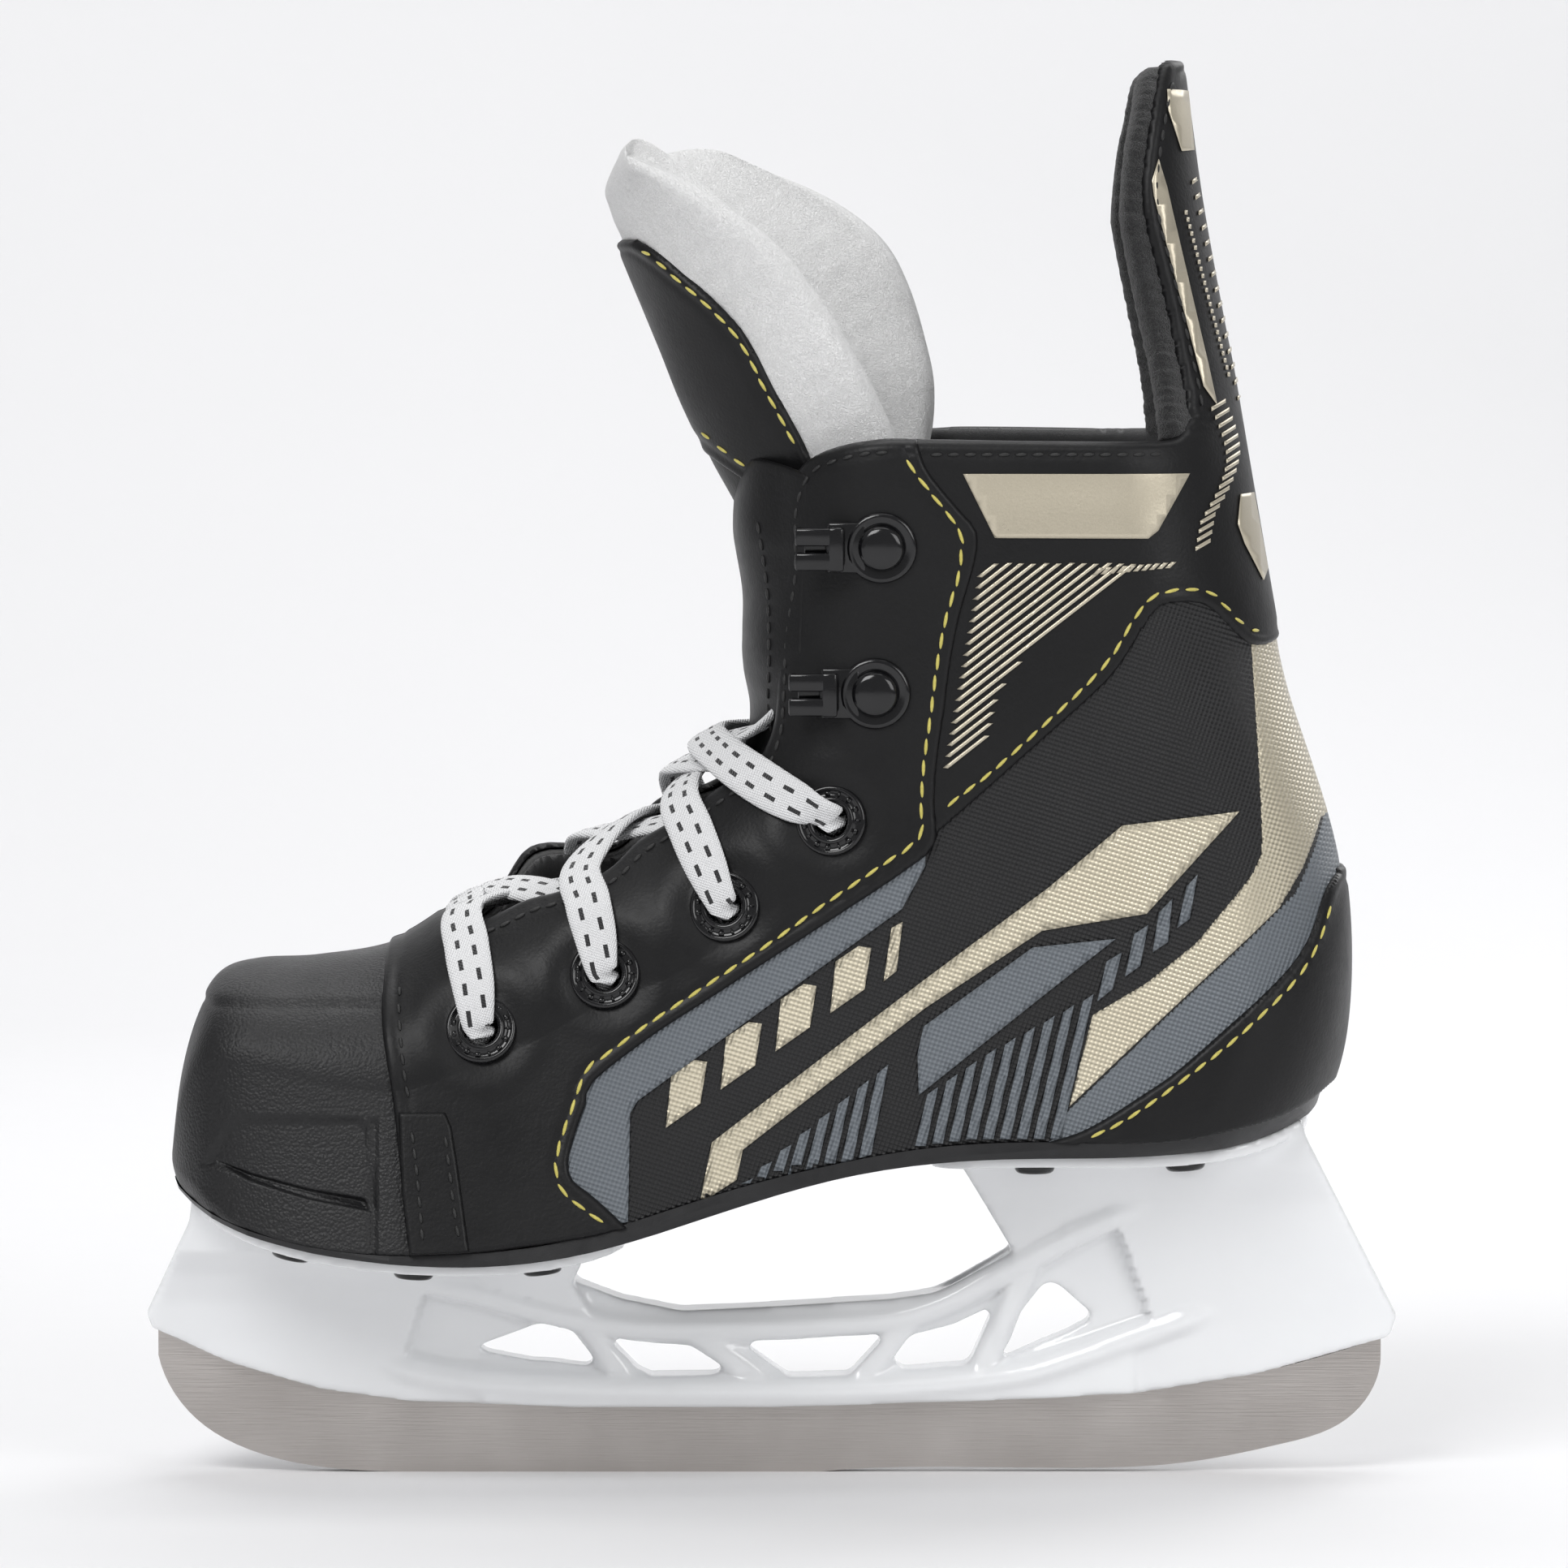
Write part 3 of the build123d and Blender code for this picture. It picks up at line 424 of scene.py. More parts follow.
@dataclass(frozen=True)
class LaceFinish(Finish):
    """Woven lace: white yarns with two rows of dark dashes along the strand."""

    dash_pitch: float = 4.6
    dash_length: float = 2.1
    dash_width: float = 0.75
    row_offset: float = 1.35

    def paint(self, sheet: NodeSheet, colour: object, shader: bpy.types.Node) -> None:
        """Draw the dashes from the strand's own map: u runs along, v across, in metres."""
        coordinates = sheet.add("ShaderNodeUVMap", uv_map="strand")
        apart = sheet.add("ShaderNodeSeparateXYZ")
        sheet.link(coordinates.outputs[0], apart.inputs[0])
        along = sheet.maths("DIVIDE", apart.outputs["X"], MM)
        across = sheet.maths("DIVIDE", apart.outputs["Y"], MM)
        rows = []
        for row in (-1, 1):
            shifted = sheet.maths("ADD", along, 1000 * self.dash_pitch + row * 0.25 * self.dash_pitch)
            phase = sheet.maths("MODULO", shifted, self.dash_pitch)
            long = sheet.maths("LESS_THAN", phase, self.dash_length)
            gap = sheet.maths("ABSOLUTE", sheet.maths("SUBTRACT", across, row * self.row_offset))
            rows.append(sheet.maths("MULTIPLY", long, sheet.maths("LESS_THAN", gap, self.dash_width / 2)))
        dark = sheet.add("ShaderNodeMix", data_type="RGBA")
        dark.inputs[7].default_value = (0.012, 0.012, 0.014, 1)
        sheet.link(sheet.maths("MAXIMUM", *rows), dark.inputs[0])
        sheet.link(colour, dark.inputs[6])
        sheet.link(dark.outputs[2], shader.inputs["Base Color"])


LEATHER = Finish("black_leather", (0.005, 0.005, 0.0055), (0.008, 0.008, 0.0085), (0.36, 0.5), Effect.GRAIN,
                 0.55, 0.02, specular=0.26, second=Effect.MOTTLE, second_size=5.0, second_depth=0.12)
TEXTILE = Finish("quarter_weave", (0.003, 0.003, 0.0035), (0.011, 0.011, 0.012), (0.5, 0.62), Effect.WEAVE,
                 1.15, 0.16)
GOLD_WEAVE = Finish("print_champagne", (0.40, 0.36, 0.27), (0.60, 0.55, 0.43), (0.3, 0.42), Effect.WEAVE,
                    1.15, 0.1, metallic=0.55)
SLATE_WEAVE = Finish("print_slate", (0.10, 0.113, 0.128), (0.168, 0.188, 0.208), (0.4, 0.52), Effect.WEAVE,
                     1.15, 0.12, metallic=0.2)
GOLD_FILM = Finish("print_champagne", (0.46, 0.415, 0.32), (0.60, 0.545, 0.43), (0.26, 0.38), Effect.GRAIN,
                   0.5, 0.012, metallic=0.6)
TOE = Finish("toe_black", (0.0055, 0.0055, 0.006), (0.010, 0.010, 0.011), (0.38, 0.5), Effect.GRAIN, 0.5,
             0.11, specular=0.4)
SOLE = Finish("sole_black", (0.005, 0.005, 0.006), (0.009, 0.009, 0.010), (0.3, 0.5), Effect.MOTTLE, 2.0,
              0.08)
HOLDER = Finish("holder_white", (0.84, 0.85, 0.865), (0.87, 0.88, 0.89), (0.22, 0.26), Effect.MOTTLE, 12.0,
                0.01, coat=0.5, subsurface=0.05)
STEEL = Finish("steel", (0.42, 0.39, 0.37), (0.62, 0.585, 0.56), (0.32, 0.38), Effect.BRUSH, 0.3, 0.06,
               metallic=1.0)
ENAMEL = Finish("black_metal", (0.004, 0.004, 0.0045), (0.007, 0.007, 0.008), (0.1, 0.16), Effect.MOTTLE,
                2.5, 0.02, coat=0.15, coat_rough=0.06, specular=0.42)
PLAIN_METAL = Finish("plain_metal", (0.42, 0.42, 0.43), (0.6, 0.6, 0.61), (0.25, 0.4), Effect.BRUSH, 0.3,
                     0.02, metallic=1.0)
FELT = Finish("felt_white", (0.82, 0.82, 0.82), (0.93, 0.93, 0.925), (0.85, 0.95), Effect.FUZZ, 0.35, 0.5,
              sheen=0.6, specular=0.15, subsurface=0.12)
DARK_FELT = Finish("lining_black", (0.004, 0.004, 0.004), (0.02, 0.02, 0.021), (0.8, 0.95), Effect.FUZZ,
                   0.3, 0.4, sheen=0.35, specular=0.2)
LINING = Finish("lining_black", (0.006, 0.006, 0.0065), (0.016, 0.016, 0.017), (0.7, 0.85), Effect.FUZZ,
                0.22, 0.12, sheen=0.3)
FOAM = Finish("foam", (0.05, 0.05, 0.05), (0.09, 0.09, 0.09), (0.8, 0.9), Effect.FUZZ, 0.5, 0.2)
BOARD = Finish("board", (0.22, 0.18, 0.12), (0.33, 0.28, 0.2), (0.75, 0.9), Effect.FUZZ, 0.5, 0.05)
FOOTBED = Finish("footbed", (0.02, 0.021, 0.023), (0.045, 0.046, 0.05), (0.75, 0.9), Effect.WEAVE, 0.9, 0.1,
                 sheen=0.2)
YELLOW = Finish("stitch_yellow", (0.42, 0.36, 0.06), (0.72, 0.64, 0.16), (0.45, 0.6), Effect.FUZZ, 0.12,
                0.05, sheen=0.2)
BLACK_THREAD = Finish("stitch_black", (0.005, 0.005, 0.005), (0.014, 0.014, 0.014), (0.4, 0.55),
                      Effect.FUZZ, 0.12, 0.05)
LACE = LaceFinish("lace_white", (0.78, 0.785, 0.80), (0.91, 0.915, 0.92), (0.75, 0.9), Effect.WEAVE, 0.62,
                  0.14, sheen=0.3, subsurface=0.08)
FLOOR = Finish("floor", (0.80, 0.80, 0.81), (0.83, 0.83, 0.84), (0.6, 0.7), Effect.MOTTLE, 400.0, 0.0)
TIP = Finish("lace_tip", (0.7, 0.7, 0.7), (0.82, 0.82, 0.82), (0.2, 0.3), Effect.MOTTLE, 3.0, 0.02,
             coat=0.5)


class Paintbox:
    """Makes each finish's material once."""

    def __init__(self) -> None:
        """Start with no materials."""
        self.made: dict[Finish, bpy.types.Material] = {}

    def dress(self, piece: bpy.types.Object, finish: Finish) -> None:
        """Give a piece one finish all over."""
        if finish not in self.made:
            self.made[finish] = finish.make(f"{finish.slot}_{len(self.made)}")
        piece.data.materials.clear()
        piece.data.materials.append(self.made[finish])


PAINT = Paintbox()


# ---------------------------------------------------------------- meshes
def shade_smooth(mesh: bpy.types.Mesh) -> None:
    """Shade every face smooth."""
    mesh.polygons.foreach_set("use_smooth", [True] * len(mesh.polygons))


def to_piece(bm: bmesh.types.BMesh, name: str, finish: Finish, smooth: bool = True) -> bpy.types.Object:
    """Turn a bmesh in millimetres into a finished piece at the origin.

    Args:
        bm: The mesh in millimetres, freed afterwards.
        name: Name of the piece.
        finish: Its finish.
        smooth: Whether its faces are shaded smooth.

    Returns:
        The new object.
    """
    bmesh.ops.scale(bm, vec=(MM, MM, MM), verts=bm.verts)
    mesh = bpy.data.meshes.new(name)
    bm.to_mesh(mesh)
    bm.free()
    if smooth:
        shade_smooth(mesh)
    piece = bpy.data.objects.new(name, mesh)
    bpy.context.scene.collection.objects.link(piece)
    PAINT.dress(piece, finish)
    return piece


def finish_piece(piece: bpy.types.Object, body: str, *nodes: str) -> bpy.types.Object:
    """Let a piece ride on a body and stand for CAD nodes."""
    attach(piece, body)
    if nodes:
        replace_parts(piece, *nodes)
    log.info("%s: %d faces on %s", piece.name, len(piece.data.polygons), body)
    return piece


@dataclass
class Edge:
    """Part of a panel's outline and how the panel ends there.

    Attributes:
        points: Points (x, z) along it.
        bend: Whether the points are joined by a smooth curve.
        rounding: Distance over which the panel's own thickness closes.
        roll: How far the panel turns inwards at the edge.
        reach: Distance over which it turns.
        groove: Distance from the edge of a sewn channel, or none.
    """

    points: Path
    bend: bool = True
    rounding: float = 0.6
    roll: float = 0.0
    reach: float = 2.8
    groove: float | None = None

    def line(self) -> np.ndarray:
        """Points of the edge as drawn."""
        if self.bend and len(self.points) > 2:
            return smooth_path(self.points, 2.2)
        return np.array(self.points, float)


class Surface:
    """A smooth surface as a lattice of points and normals, in millimetres."""

    points: np.ndarray
    normals: np.ndarray

    def settle(self, points: np.ndarray, outward: float) -> None:
        """Store the lattice and work out its normals.

        Args:
            points: Lattice of points (rows, columns, 3).
            outward: 1 or -1, which turns the normals outwards.
        """
        down, across = np.gradient(points, axis=(0, 1))
        normals = np.cross(across, down) * outward
        size = np.linalg.norm(normals, axis=2, keepdims=True)
        self.points = points
        self.normals = normals / np.maximum(size, 1e-9)


@dataclass
class BootForm(Surface):
    """Last-like form of the boot: rounded sections from the toe round the heel to the guard.

    Attributes:
        fan_centre: Point (x, z) about which the middle sections turn.
        toe: Upright sections: x, low z, high z, half widths, roundings.
        fan: Turned sections: angle, sole and instep reach, half widths, roundings.
        upper: Level sections: z, back x, front x, half widths, roundings.
    """

    fan_centre: Point = (-30.0, 160.0)
    toe: Path = field(default_factory=lambda: [
        (-98.75, 53.6, 54.6, 1.5, 1.5, 0.5, 0.5), (-98.7, 52.4, 55.8, 8.0, 8.0, 1.6, 1.6),
        (-98.4, 50.6, 57.5, 15.0, 15.0, 3.0, 3.0), (-97.0, 46.5, 69.0, 20.5, 20.0, 6.0, 7.0),
        (-94.5, 43.0, 77.5, 25.5, 24.0, 8.0, 10.0), (-91.0, 39.0, 83.0, 29.5, 27.0, 9.0, 13.0),
        (-85.0, 35.0, 84.9, 33.0, 29.5, 9.0, 15.0), (-75.0, 32.0, 85.5, 36.0, 31.0, 9.0, 18.0),
        (-62.0, 30.0, 88.0, 37.5, 31.5, 9.0, 22.0), (-50.0, 29.0, 95.5, 37.5, 30.5, 9.0, 26.0),
        (-40.0, 29.5, 101.5, 37.0, 29.0, 9.0, 28.0),
    ])
    fan: Path = field(default_factory=lambda: [
        (0, 129.0, 53.0, 36.5, 28.0, 9.0, 28.0), (10, 123.0, 49.5, 35.0, 27.5, 9.0, 27.0),
        (20, 124.0, 46.5, 33.5, 27.5, 9.0, 26.0), (30, 129.5, 44.0, 31.5, 27.5, 9.0, 25.0),
        (38, 141.0, 41.0, 30.0, 27.5, 10.0, 24.0), (45, 153.5, 37.0, 28.5, 27.5, 14.0, 23.0),
        (50, 156.0, 34.5, 28.0, 27.5, 20.0, 22.0), (56, 150.5, 32.0, 28.5, 27.5, 24.0, 22.0),
        (65, 136.7, 29.6, 29.0, 28.0, 25.0, 22.0), (76, 118.6, 27.6, 29.5, 28.5, 25.0, 22.0),
        (82, 113.8, 27.0, 30.0, 29.0, 25.0, 22.0), (90, 109.9, 27.0, 30.5, 29.5, 24.0, 22.0),
    ])
    upper: Path = field(default_factory=lambda: [
        (168.0, 78.5, -2.5, 31.0, 30.0, 24.0, 22.0), (175.0, 77.3, -2.0, 29.6, 30.0, 23.0, 22.0),
        (183.0, 75.9, 8.0, 26.2, 26.0, 20.5, 16.0), (192.0, 74.1, 20.0, 23.4, 23.0, 18.0, 12.0),
        (210.0, 70.8, 30.0, 20.8, 20.0, 15.0, 10.0), (224.0, 68.8, 36.0, 17.8, 17.0, 12.0, 9.0),
        (236.0, 67.2, 40.0, 13.0, 13.0, 9.0, 8.0),
    ])
    low_steps: int = 20
    side_steps: int = 62
    top_steps: int = 34
    spacing: float = 1.15

    def __post_init__(self) -> None:
        """Draw the lattice once."""
        rows = self.rows()
        shares = self.shares()
        half = np.stack([self.section(row, shares) for row in rows])
        mirrored = half[:, :0:-1] * np.array([1, -1, 1])
        self.settle(np.concatenate([mirrored, half], axis=1), 1)

    def rows(self) -> np.ndarray:
        """All sections between the given ones, as (low x, low z, top x, top z, shape)."""
        cx, cz = self.fan_centre
        given = [(x, low, x, high, *shape) for x, low, high, *shape in self.toe]
        for angle, sole, instep, *shape in self.fan:
            s, c = math.sin(math.radians(angle)), math.cos(math.radians(angle))
            given.append((cx + sole * s, cz - sole * c, cx + instep * s, cz - instep * c, *shape))
        given += [(back, z, front, z, *shape) for z, back, front, *shape in self.upper]
        return smooth_path(given, self.spacing)

    def shares(self) -> np.ndarray:
        """Places round half a section: 0..1 low curve, 1..2 side, 2..3 top curve."""
        low = np.linspace(0, 1, self.low_steps, endpoint=False)
        side = np.linspace(1, 2, self.side_steps, endpoint=False)
        return np.concatenate([low, side, np.linspace(2, 3, self.top_steps)])

    def section(self, row: np.ndarray, shares: np.ndarray) -> np.ndarray:
        """Half of one section, from its low middle round the medial side to its top middle."""
        low, top = row[0:2], row[2:4]
        low_w, top_w, low_r, top_r = np.maximum(row[4:8], 0.5)
        height = np.linalg.norm(top - low)
        up = (top - low) / height
        scale = min(1.0, (height - 0.4) / (low_r + top_r))
        low_r, top_r = low_r * scale, top_r * scale
        turn = np.clip(shares, 0, 1) * math.pi / 2
        crown = np.clip(shares - 2, 0, 1) * math.pi / 2
        rise = np.clip(shares - 1, 0, 1)
        out = low_w * np.sin(turn) + (top_w - low_w) * rise - top_w * (1 - np.cos(crown))
        along = low_r * (1 - np.cos(turn)) + (height - low_r - top_r) * rise + top_r * np.sin(crown)
        return np.stack([low[0] + up[0] * along, out, low[1] + up[1] * along], 1)


@dataclass
class TongueForm(Surface):
    """U-shaped sheet of the tongue's upper part, from inside the collar to its rounded top.

    Attributes:
        stations: Front x and z, near edge x and z, far edge x and z, half width.
    """

    stations: Path = field(default_factory=lambda: [
        (-1.2, 146.0, 15.0, 146.0, 16.0, 146.0, 17.0), (-3.8, 158.0, 18.5, 158.0, 21.0, 158.0, 19.0),
        (-9.2, 168.5, 20.8, 168.5, 26.0, 169.0, 21.0), (-13.8, 178.0, 17.4, 178.0, 27.2, 179.0, 22.5),
        (-17.2, 186.5, 12.5, 187.0, 25.6, 188.0, 24.0), (-20.3, 194.0, 7.6, 194.8, 22.8, 197.0, 25.2),
        (-23.2, 201.0, 0.8, 203.2, 18.5, 204.5, 26.3), (-25.8, 207.5, -8.2, 210.0, 11.0, 210.6, 27.0),
        (-27.6, 212.2, -16.5, 214.8, 2.0, 215.0, 27.2), (-28.4, 214.6, -24.0, 217.6, -8.0, 218.2, 27.0),
    ])
    steps: int = 70
    spacing: float = 1.2

    def __post_init__(self) -> None:
        """Draw the lattice once."""
        share = np.linspace(-1, 1, self.steps)
        turn = share * math.pi / 2
        back = (1 - np.cos(turn)) ** 0.85
        rows = []
        for fx, fz, nx, nz, gx, gz, half in smooth_path(self.stations, self.spacing):
            edge_x = np.where(share < 0, nx, gx)
            edge_z = np.where(share < 0, nz, gz)
            rows.append(np.stack([fx + (edge_x - fx) * back, half * np.sin(turn),
                                  fz + (edge_z - fz) * back], 1))
        self.settle(np.stack(rows), -1)


BOTH = (Side.LATERAL, Side.MEDIAL)


@dataclass
class Panel:
    """Piece cut from a surface along an outline in the side view, with thickness and round edges.

    Attributes:
        name: Name of the piece.
        surface: Surface that it follows.
        edges: Its outline, in order.
        finish: Its finish.
        sides: One side, or both as one piece.
        lift: Height of its outer face above the surface.
        thickness: Its thickness.
        holes: Centres and radius (x, z, r) of holes through it.
        dimples: Centre, ring radius, width and depth (x, z, r, w, d) of pulled-in rings.
        shape: Extra height from (x, y, z) arrays, or none.
        refine: Distance from the outline within which the mesh is finer.
    """

    name: str
    surface: Surface
    edges: list[Edge]
    finish: Finish
    sides: tuple[Side, ...] = BOTH
    lift: float = 1.0
    thickness: float = 1.6
    holes: Path = field(default_factory=list)
    dimples: Path = field(default_factory=list)
    shape: Callable[[np.ndarray], np.ndarray] | None = None
    refine: float = 2.4
    tree: BVHTree | None = None

    def outline(self) -> np.ndarray:
        """Whole outline as one closed line."""
        return np.vstack([edge.line() for edge in self.edges])

    def window(self, outline: np.ndarray) -> tuple[int, int, int, int]:
        """Rows and columns of the surface that the outline can touch."""
        points = self.surface.points
        low, high = outline.min(0) - 3, outline.max(0) + 3
        hit = (points[..., 0] > low[0]) & (points[..., 0] < high[0])
        hit &= (points[..., 2] > low[1]) & (points[..., 2] < high[1])
        if len(self.sides) == 1:
            middle = points.shape[1] // 2
            if self.sides[0] is Side.LATERAL:
                hit[:, middle + 1:] = False
            else:
                hit[:, :middle] = False
        rows, columns = np.flatnonzero(hit.any(1)), np.flatnonzero(hit.any(0))
        return rows[0], rows[-1], columns[0], columns[-1]

    def lattice(self, outline: np.ndarray) -> bmesh.types.BMesh:
        """Grid mesh laid on the surface, with the surface's normals in a layer."""
        r0, r1, c0, c1 = self.window(outline)
        bm = bmesh.new()
        bmesh.ops.create_grid(bm, x_segments=c1 - c0, y_segments=r1 - r0, size=1.0)
        layer = bm.verts.layers.float_vector.new("out")
        points, normals = self.surface.points, self.surface.normals
        for vert in bm.verts:
            column = c0 + round((vert.co.x + 1) / 2 * (c1 - c0))
            row = r0 + round((vert.co.y + 1) / 2 * (r1 - r0))
            vert.co = points[row, column]
            vert[layer] = normals[row, column]
        return bm

    def flat(self, bm: bmesh.types.BMesh) -> np.ndarray:
        """Side view places of all vertices, whose indices are brought up to date."""
        bm.verts.index_update()
        return np.array([(v.co.x, v.co.z) for v in bm.verts]).reshape(-1, 2)

    def trim(self, bm: bmesh.types.BMesh, outline: np.ndarray) -> None:
        """Cut the grid along the outline and keep what is inside."""
        closed = np.vstack([outline, outline[:1]])
        flat = self.flat(bm)
        away = distance_to(flat, closed)
        signed = np.where(inside(flat, outline), away, -away)
        bmesh.ops.delete(bm, geom=[v for v in bm.verts if signed[v.index] < -2.2], context="VERTS")
        flat = self.flat(bm)
        near = distance_to(flat, closed) < self.refine
        edges = [e for e in bm.edges if near[e.verts[0].index] and near[e.verts[1].index]]
        bmesh.ops.subdivide_edges(bm, edges=edges, cuts=1, use_grid_fill=True)
        flat = self.flat(bm)
        border = distance_to(flat, closed) < 1.6
        cells: dict[tuple[int, int], set] = {}
        self.file_faces(cells, [f for f in bm.faces if any(border[v.index] for v in f.verts)])
        for (xa, za), (xb, zb) in zip(closed, closed[1:]):
            if math.hypot(xb - xa, zb - za) < 0.05:
                continue
            low_x, high_x = min(xa, xb) - 0.02, max(xa, xb) + 0.02
            low_z, high_z = min(za, zb) - 0.02, max(za, zb) + 0.02
            cut = []
            for face in self.near_faces(cells, low_x, high_x, low_z, high_z):
                xs = [v.co.x for v in face.verts]
                zs = [v.co.z for v in face.verts]
                if max(xs) > low_x and min(xs) < high_x and max(zs) > low_z and min(zs) < high_z:
                    cut.append(face)
            if not cut:
                continue
            geom = cut + list({e for f in cut for e in f.edges}) + list({v for f in cut for v in f.verts})
            result = bmesh.ops.bisect_plane(
                bm, geom=geom, dist=0.02, plane_co=(xa, 0, za), plane_no=(zb - za, 0, xa - xb),
            )
            self.file_faces(cells, [g for g in result["geom"] if isinstance(g, bmesh.types.BMFace)])
        centres = np.array([f.calc_center_median()[:] for f in bm.faces]).reshape(-1, 3)
        kept = inside(centres[:, [0, 2]], outline)
        for x, z, radius in self.holes:
            kept &= np.hypot(centres[:, 0] - x, centres[:, 2] - z) > radius
        bm.faces.ensure_lookup_table()
        bmesh.ops.delete(bm, geom=[f for f, keep in zip(list(bm.faces), kept) if not keep], context="FACES")
        bmesh.ops.delete(bm, geom=[v for v in bm.verts if not v.link_faces], context="VERTS")
        bmesh.ops.remove_doubles(bm, verts=bm.verts, dist=0.03)

    @staticmethod
    def file_faces(cells: dict[tuple[int, int], set], faces: list[bmesh.types.BMFace]) -> None:
        """Enter faces in 2 mm wide cells of the side view."""
        for face in faces:
            xs, zs = [v.co.x for v in face.verts], [v.co.z for v in face.verts]
            for i in range(int(min(xs) // 2), int(max(xs) // 2) + 1):
                for k in range(int(min(zs) // 2), int(max(zs) // 2) + 1):
                    cells.setdefault((i, k), set()).add(face)

    @staticmethod
    def near_faces(cells: dict[tuple[int, int], set], low_x: float, high_x: float, low_z: float,
                   high_z: float) -> set:
        """Faces entered in the cells that a box of the side view touches."""
        found = set()
        for i in range(int(low_x // 2), int(high_x // 2) + 1):
            for k in range(int(low_z // 2), int(high_z // 2) + 1):
                found |= {f for f in cells.get((i, k), ()) if f.is_valid}
        return found

    def heights(self, places: np.ndarray) -> tuple[np.ndarray, np.ndarray]:
        """Heights of the outer and the inner face at some places.

        Args:
            places: Points (x, y, z) on the surface.

        Returns:
            Outer and inner heights above the surface.
        """
        flat = places[:, [0, 2]]
        closing = np.ones(len(places))
        middle = np.full(len(places), self.lift - self.thickness / 2)
        for edge in self.edges:
            away = distance_to(flat, edge.line())
            share = np.clip(away / edge.rounding, 0, 1)
            closing = np.minimum(closing, np.sqrt(np.clip(1 - (1 - share) ** 2, 0, 1)))
            if edge.roll:
                turn = np.clip(away / edge.reach, 0, 1)
                middle -= edge.roll * (1 - np.sqrt(np.clip(1 - (1 - turn) ** 2, 0, 1)))
            if edge.groove:
                middle -= 0.22 * np.exp(-((away - edge.groove) / 0.5) ** 2)
        if len(self.sides) == 1:
            share = np.clip(np.abs(places[:, 1]) / 0.3, 0, 1)
            closing = np.minimum(closing, np.sqrt(1 - (1 - share) ** 2))
        for x, z, ring, width, depth in self.dimples:
            away = np.hypot(flat[:, 0] - x, flat[:, 1] - z)
            middle -= depth * np.exp(-((away - ring) / width) ** 2)
        if self.shape is not None:
            middle += self.shape(places)
        return middle + closing * self.thickness / 2, middle - closing * self.thickness / 2

    def build(self) -> bpy.types.Object:
        """Make the piece, closed all round, and keep a search tree of its outer face."""
        outline = self.outline()
        bm = self.lattice(outline)
        self.trim(bm, outline)
        layer = bm.verts.layers.float_vector["out"]
        number = bm.verts.layers.int.new("number")
        for index, vert in enumerate(bm.verts):
            vert[number] = index
        above, below = self.heights(np.array([v.co[:] for v in bm.verts]))
        bmesh.ops.reverse_faces(bm, faces=bm.faces)
        result = bmesh.ops.extrude_face_region(bm, geom=list(bm.faces), use_keep_orig=True)
        fresh = {g for g in result["geom"] if isinstance(g, bmesh.types.BMVert)}
        for vert in bm.verts:
            height = above if vert in fresh else below
            vert.co = vert.co + Vector(vert[layer]).normalized() * height[vert[number]]
        skin = BVHTree.FromBMesh(bm)
        bmesh.ops.remove_doubles(bm, verts=bm.verts, dist=0.012)
        bmesh.ops.recalc_face_normals(bm, faces=bm.faces)
        bm.verts.layers.float_vector.remove(layer)
        self.tree = skin
        return to_piece(bm, self.name, self.finish)

    def place(self, x: float, z: float, side: Side, lift: float = 0.0) -> tuple[Vector, Vector] | None:
        """Find the outer face at a place in the side view.

        Args:
            x: Place along the skate.
            z: Height.
            side: Side to look from.
            lift: Distance above the face.

        Returns:
            The point and the outward normal, or None past the silhouette.
        """
        start = Vector((x, 90.0 * side.sign, z))
        spot, normal, _, _ = self.tree.ray_cast(start, Vector((0, -side.sign, 0)))
        if spot is None or spot.y * side.sign < -1:
            return None
        if normal.y * side.sign < 0:
            normal = -normal
        return spot + normal * lift, normal


@dataclass
class Seam:
    """Row of stitches along a line on a panel.

    Attributes:
        points: Points (x, z) that the row passes.
        finish: Finish of the thread.
        pitch: Distance from stitch to stitch.
        length: Length of thread that shows.
        width: Thickness of the thread.
        bend: Whether the points are joined by a smooth curve.
    """

    points: Path
    finish: Finish = field(default_factory=lambda: BLACK_THREAD)
    pitch: float = 2.7
    length: float = 2.0
    width: float = 0.72
    bend: bool = True

    def sew(self, bm: bmesh.types.BMesh, panel: Panel, side: Side) -> None:
        """Add the stitches of one side to a mesh.

        Args:
            bm: Mesh that collects them.
            panel: Panel that they are sewn through.
            side: Side of the skate.
        """
        drawn = smooth_path(self.points, 1.0) if self.bend else np.array(self.points, float)
        spots = even_path(drawn, self.pitch)
        found = [panel.place(x, z, side, 0.06) for x, z in spots]
        for before, here, after in zip(found, found[1:], found[2:]):
            if before is None or here is None or after is None:
                continue
            along = (after[0] - before[0]).normalized()
            out = (here[1] - along * here[1].dot(along)).normalized()
            turn = Matrix((along, out.cross(along), out)).transposed().to_4x4()
            size = Matrix.Diagonal((self.length / 2, self.width / 2, self.width / 2.2, 1))
            matrix = Matrix.Translation(here[0]) @ turn @ Matrix.Rotation(0.07, 4, "Z") @ size
            bmesh.ops.create_uvsphere(bm, u_segments=7, v_segments=5, radius=1.0,
                                      matrix=matrix @ QUARTER_TURN)


QUARTER_TURN = Matrix.Rotation(math.pi / 2, 4, "Y")


def sew_rows(name: str, seams: list[Seam], panel: Panel, sides: Iterable[Side]) -> bpy.types.Object:
    """Sew several rows of one thread as one piece."""
    bm = bmesh.new()
    for side in sides:
        for seam in seams:
            seam.sew(bm, panel, side)
    return to_piece(bm, name, seams[0].finish)


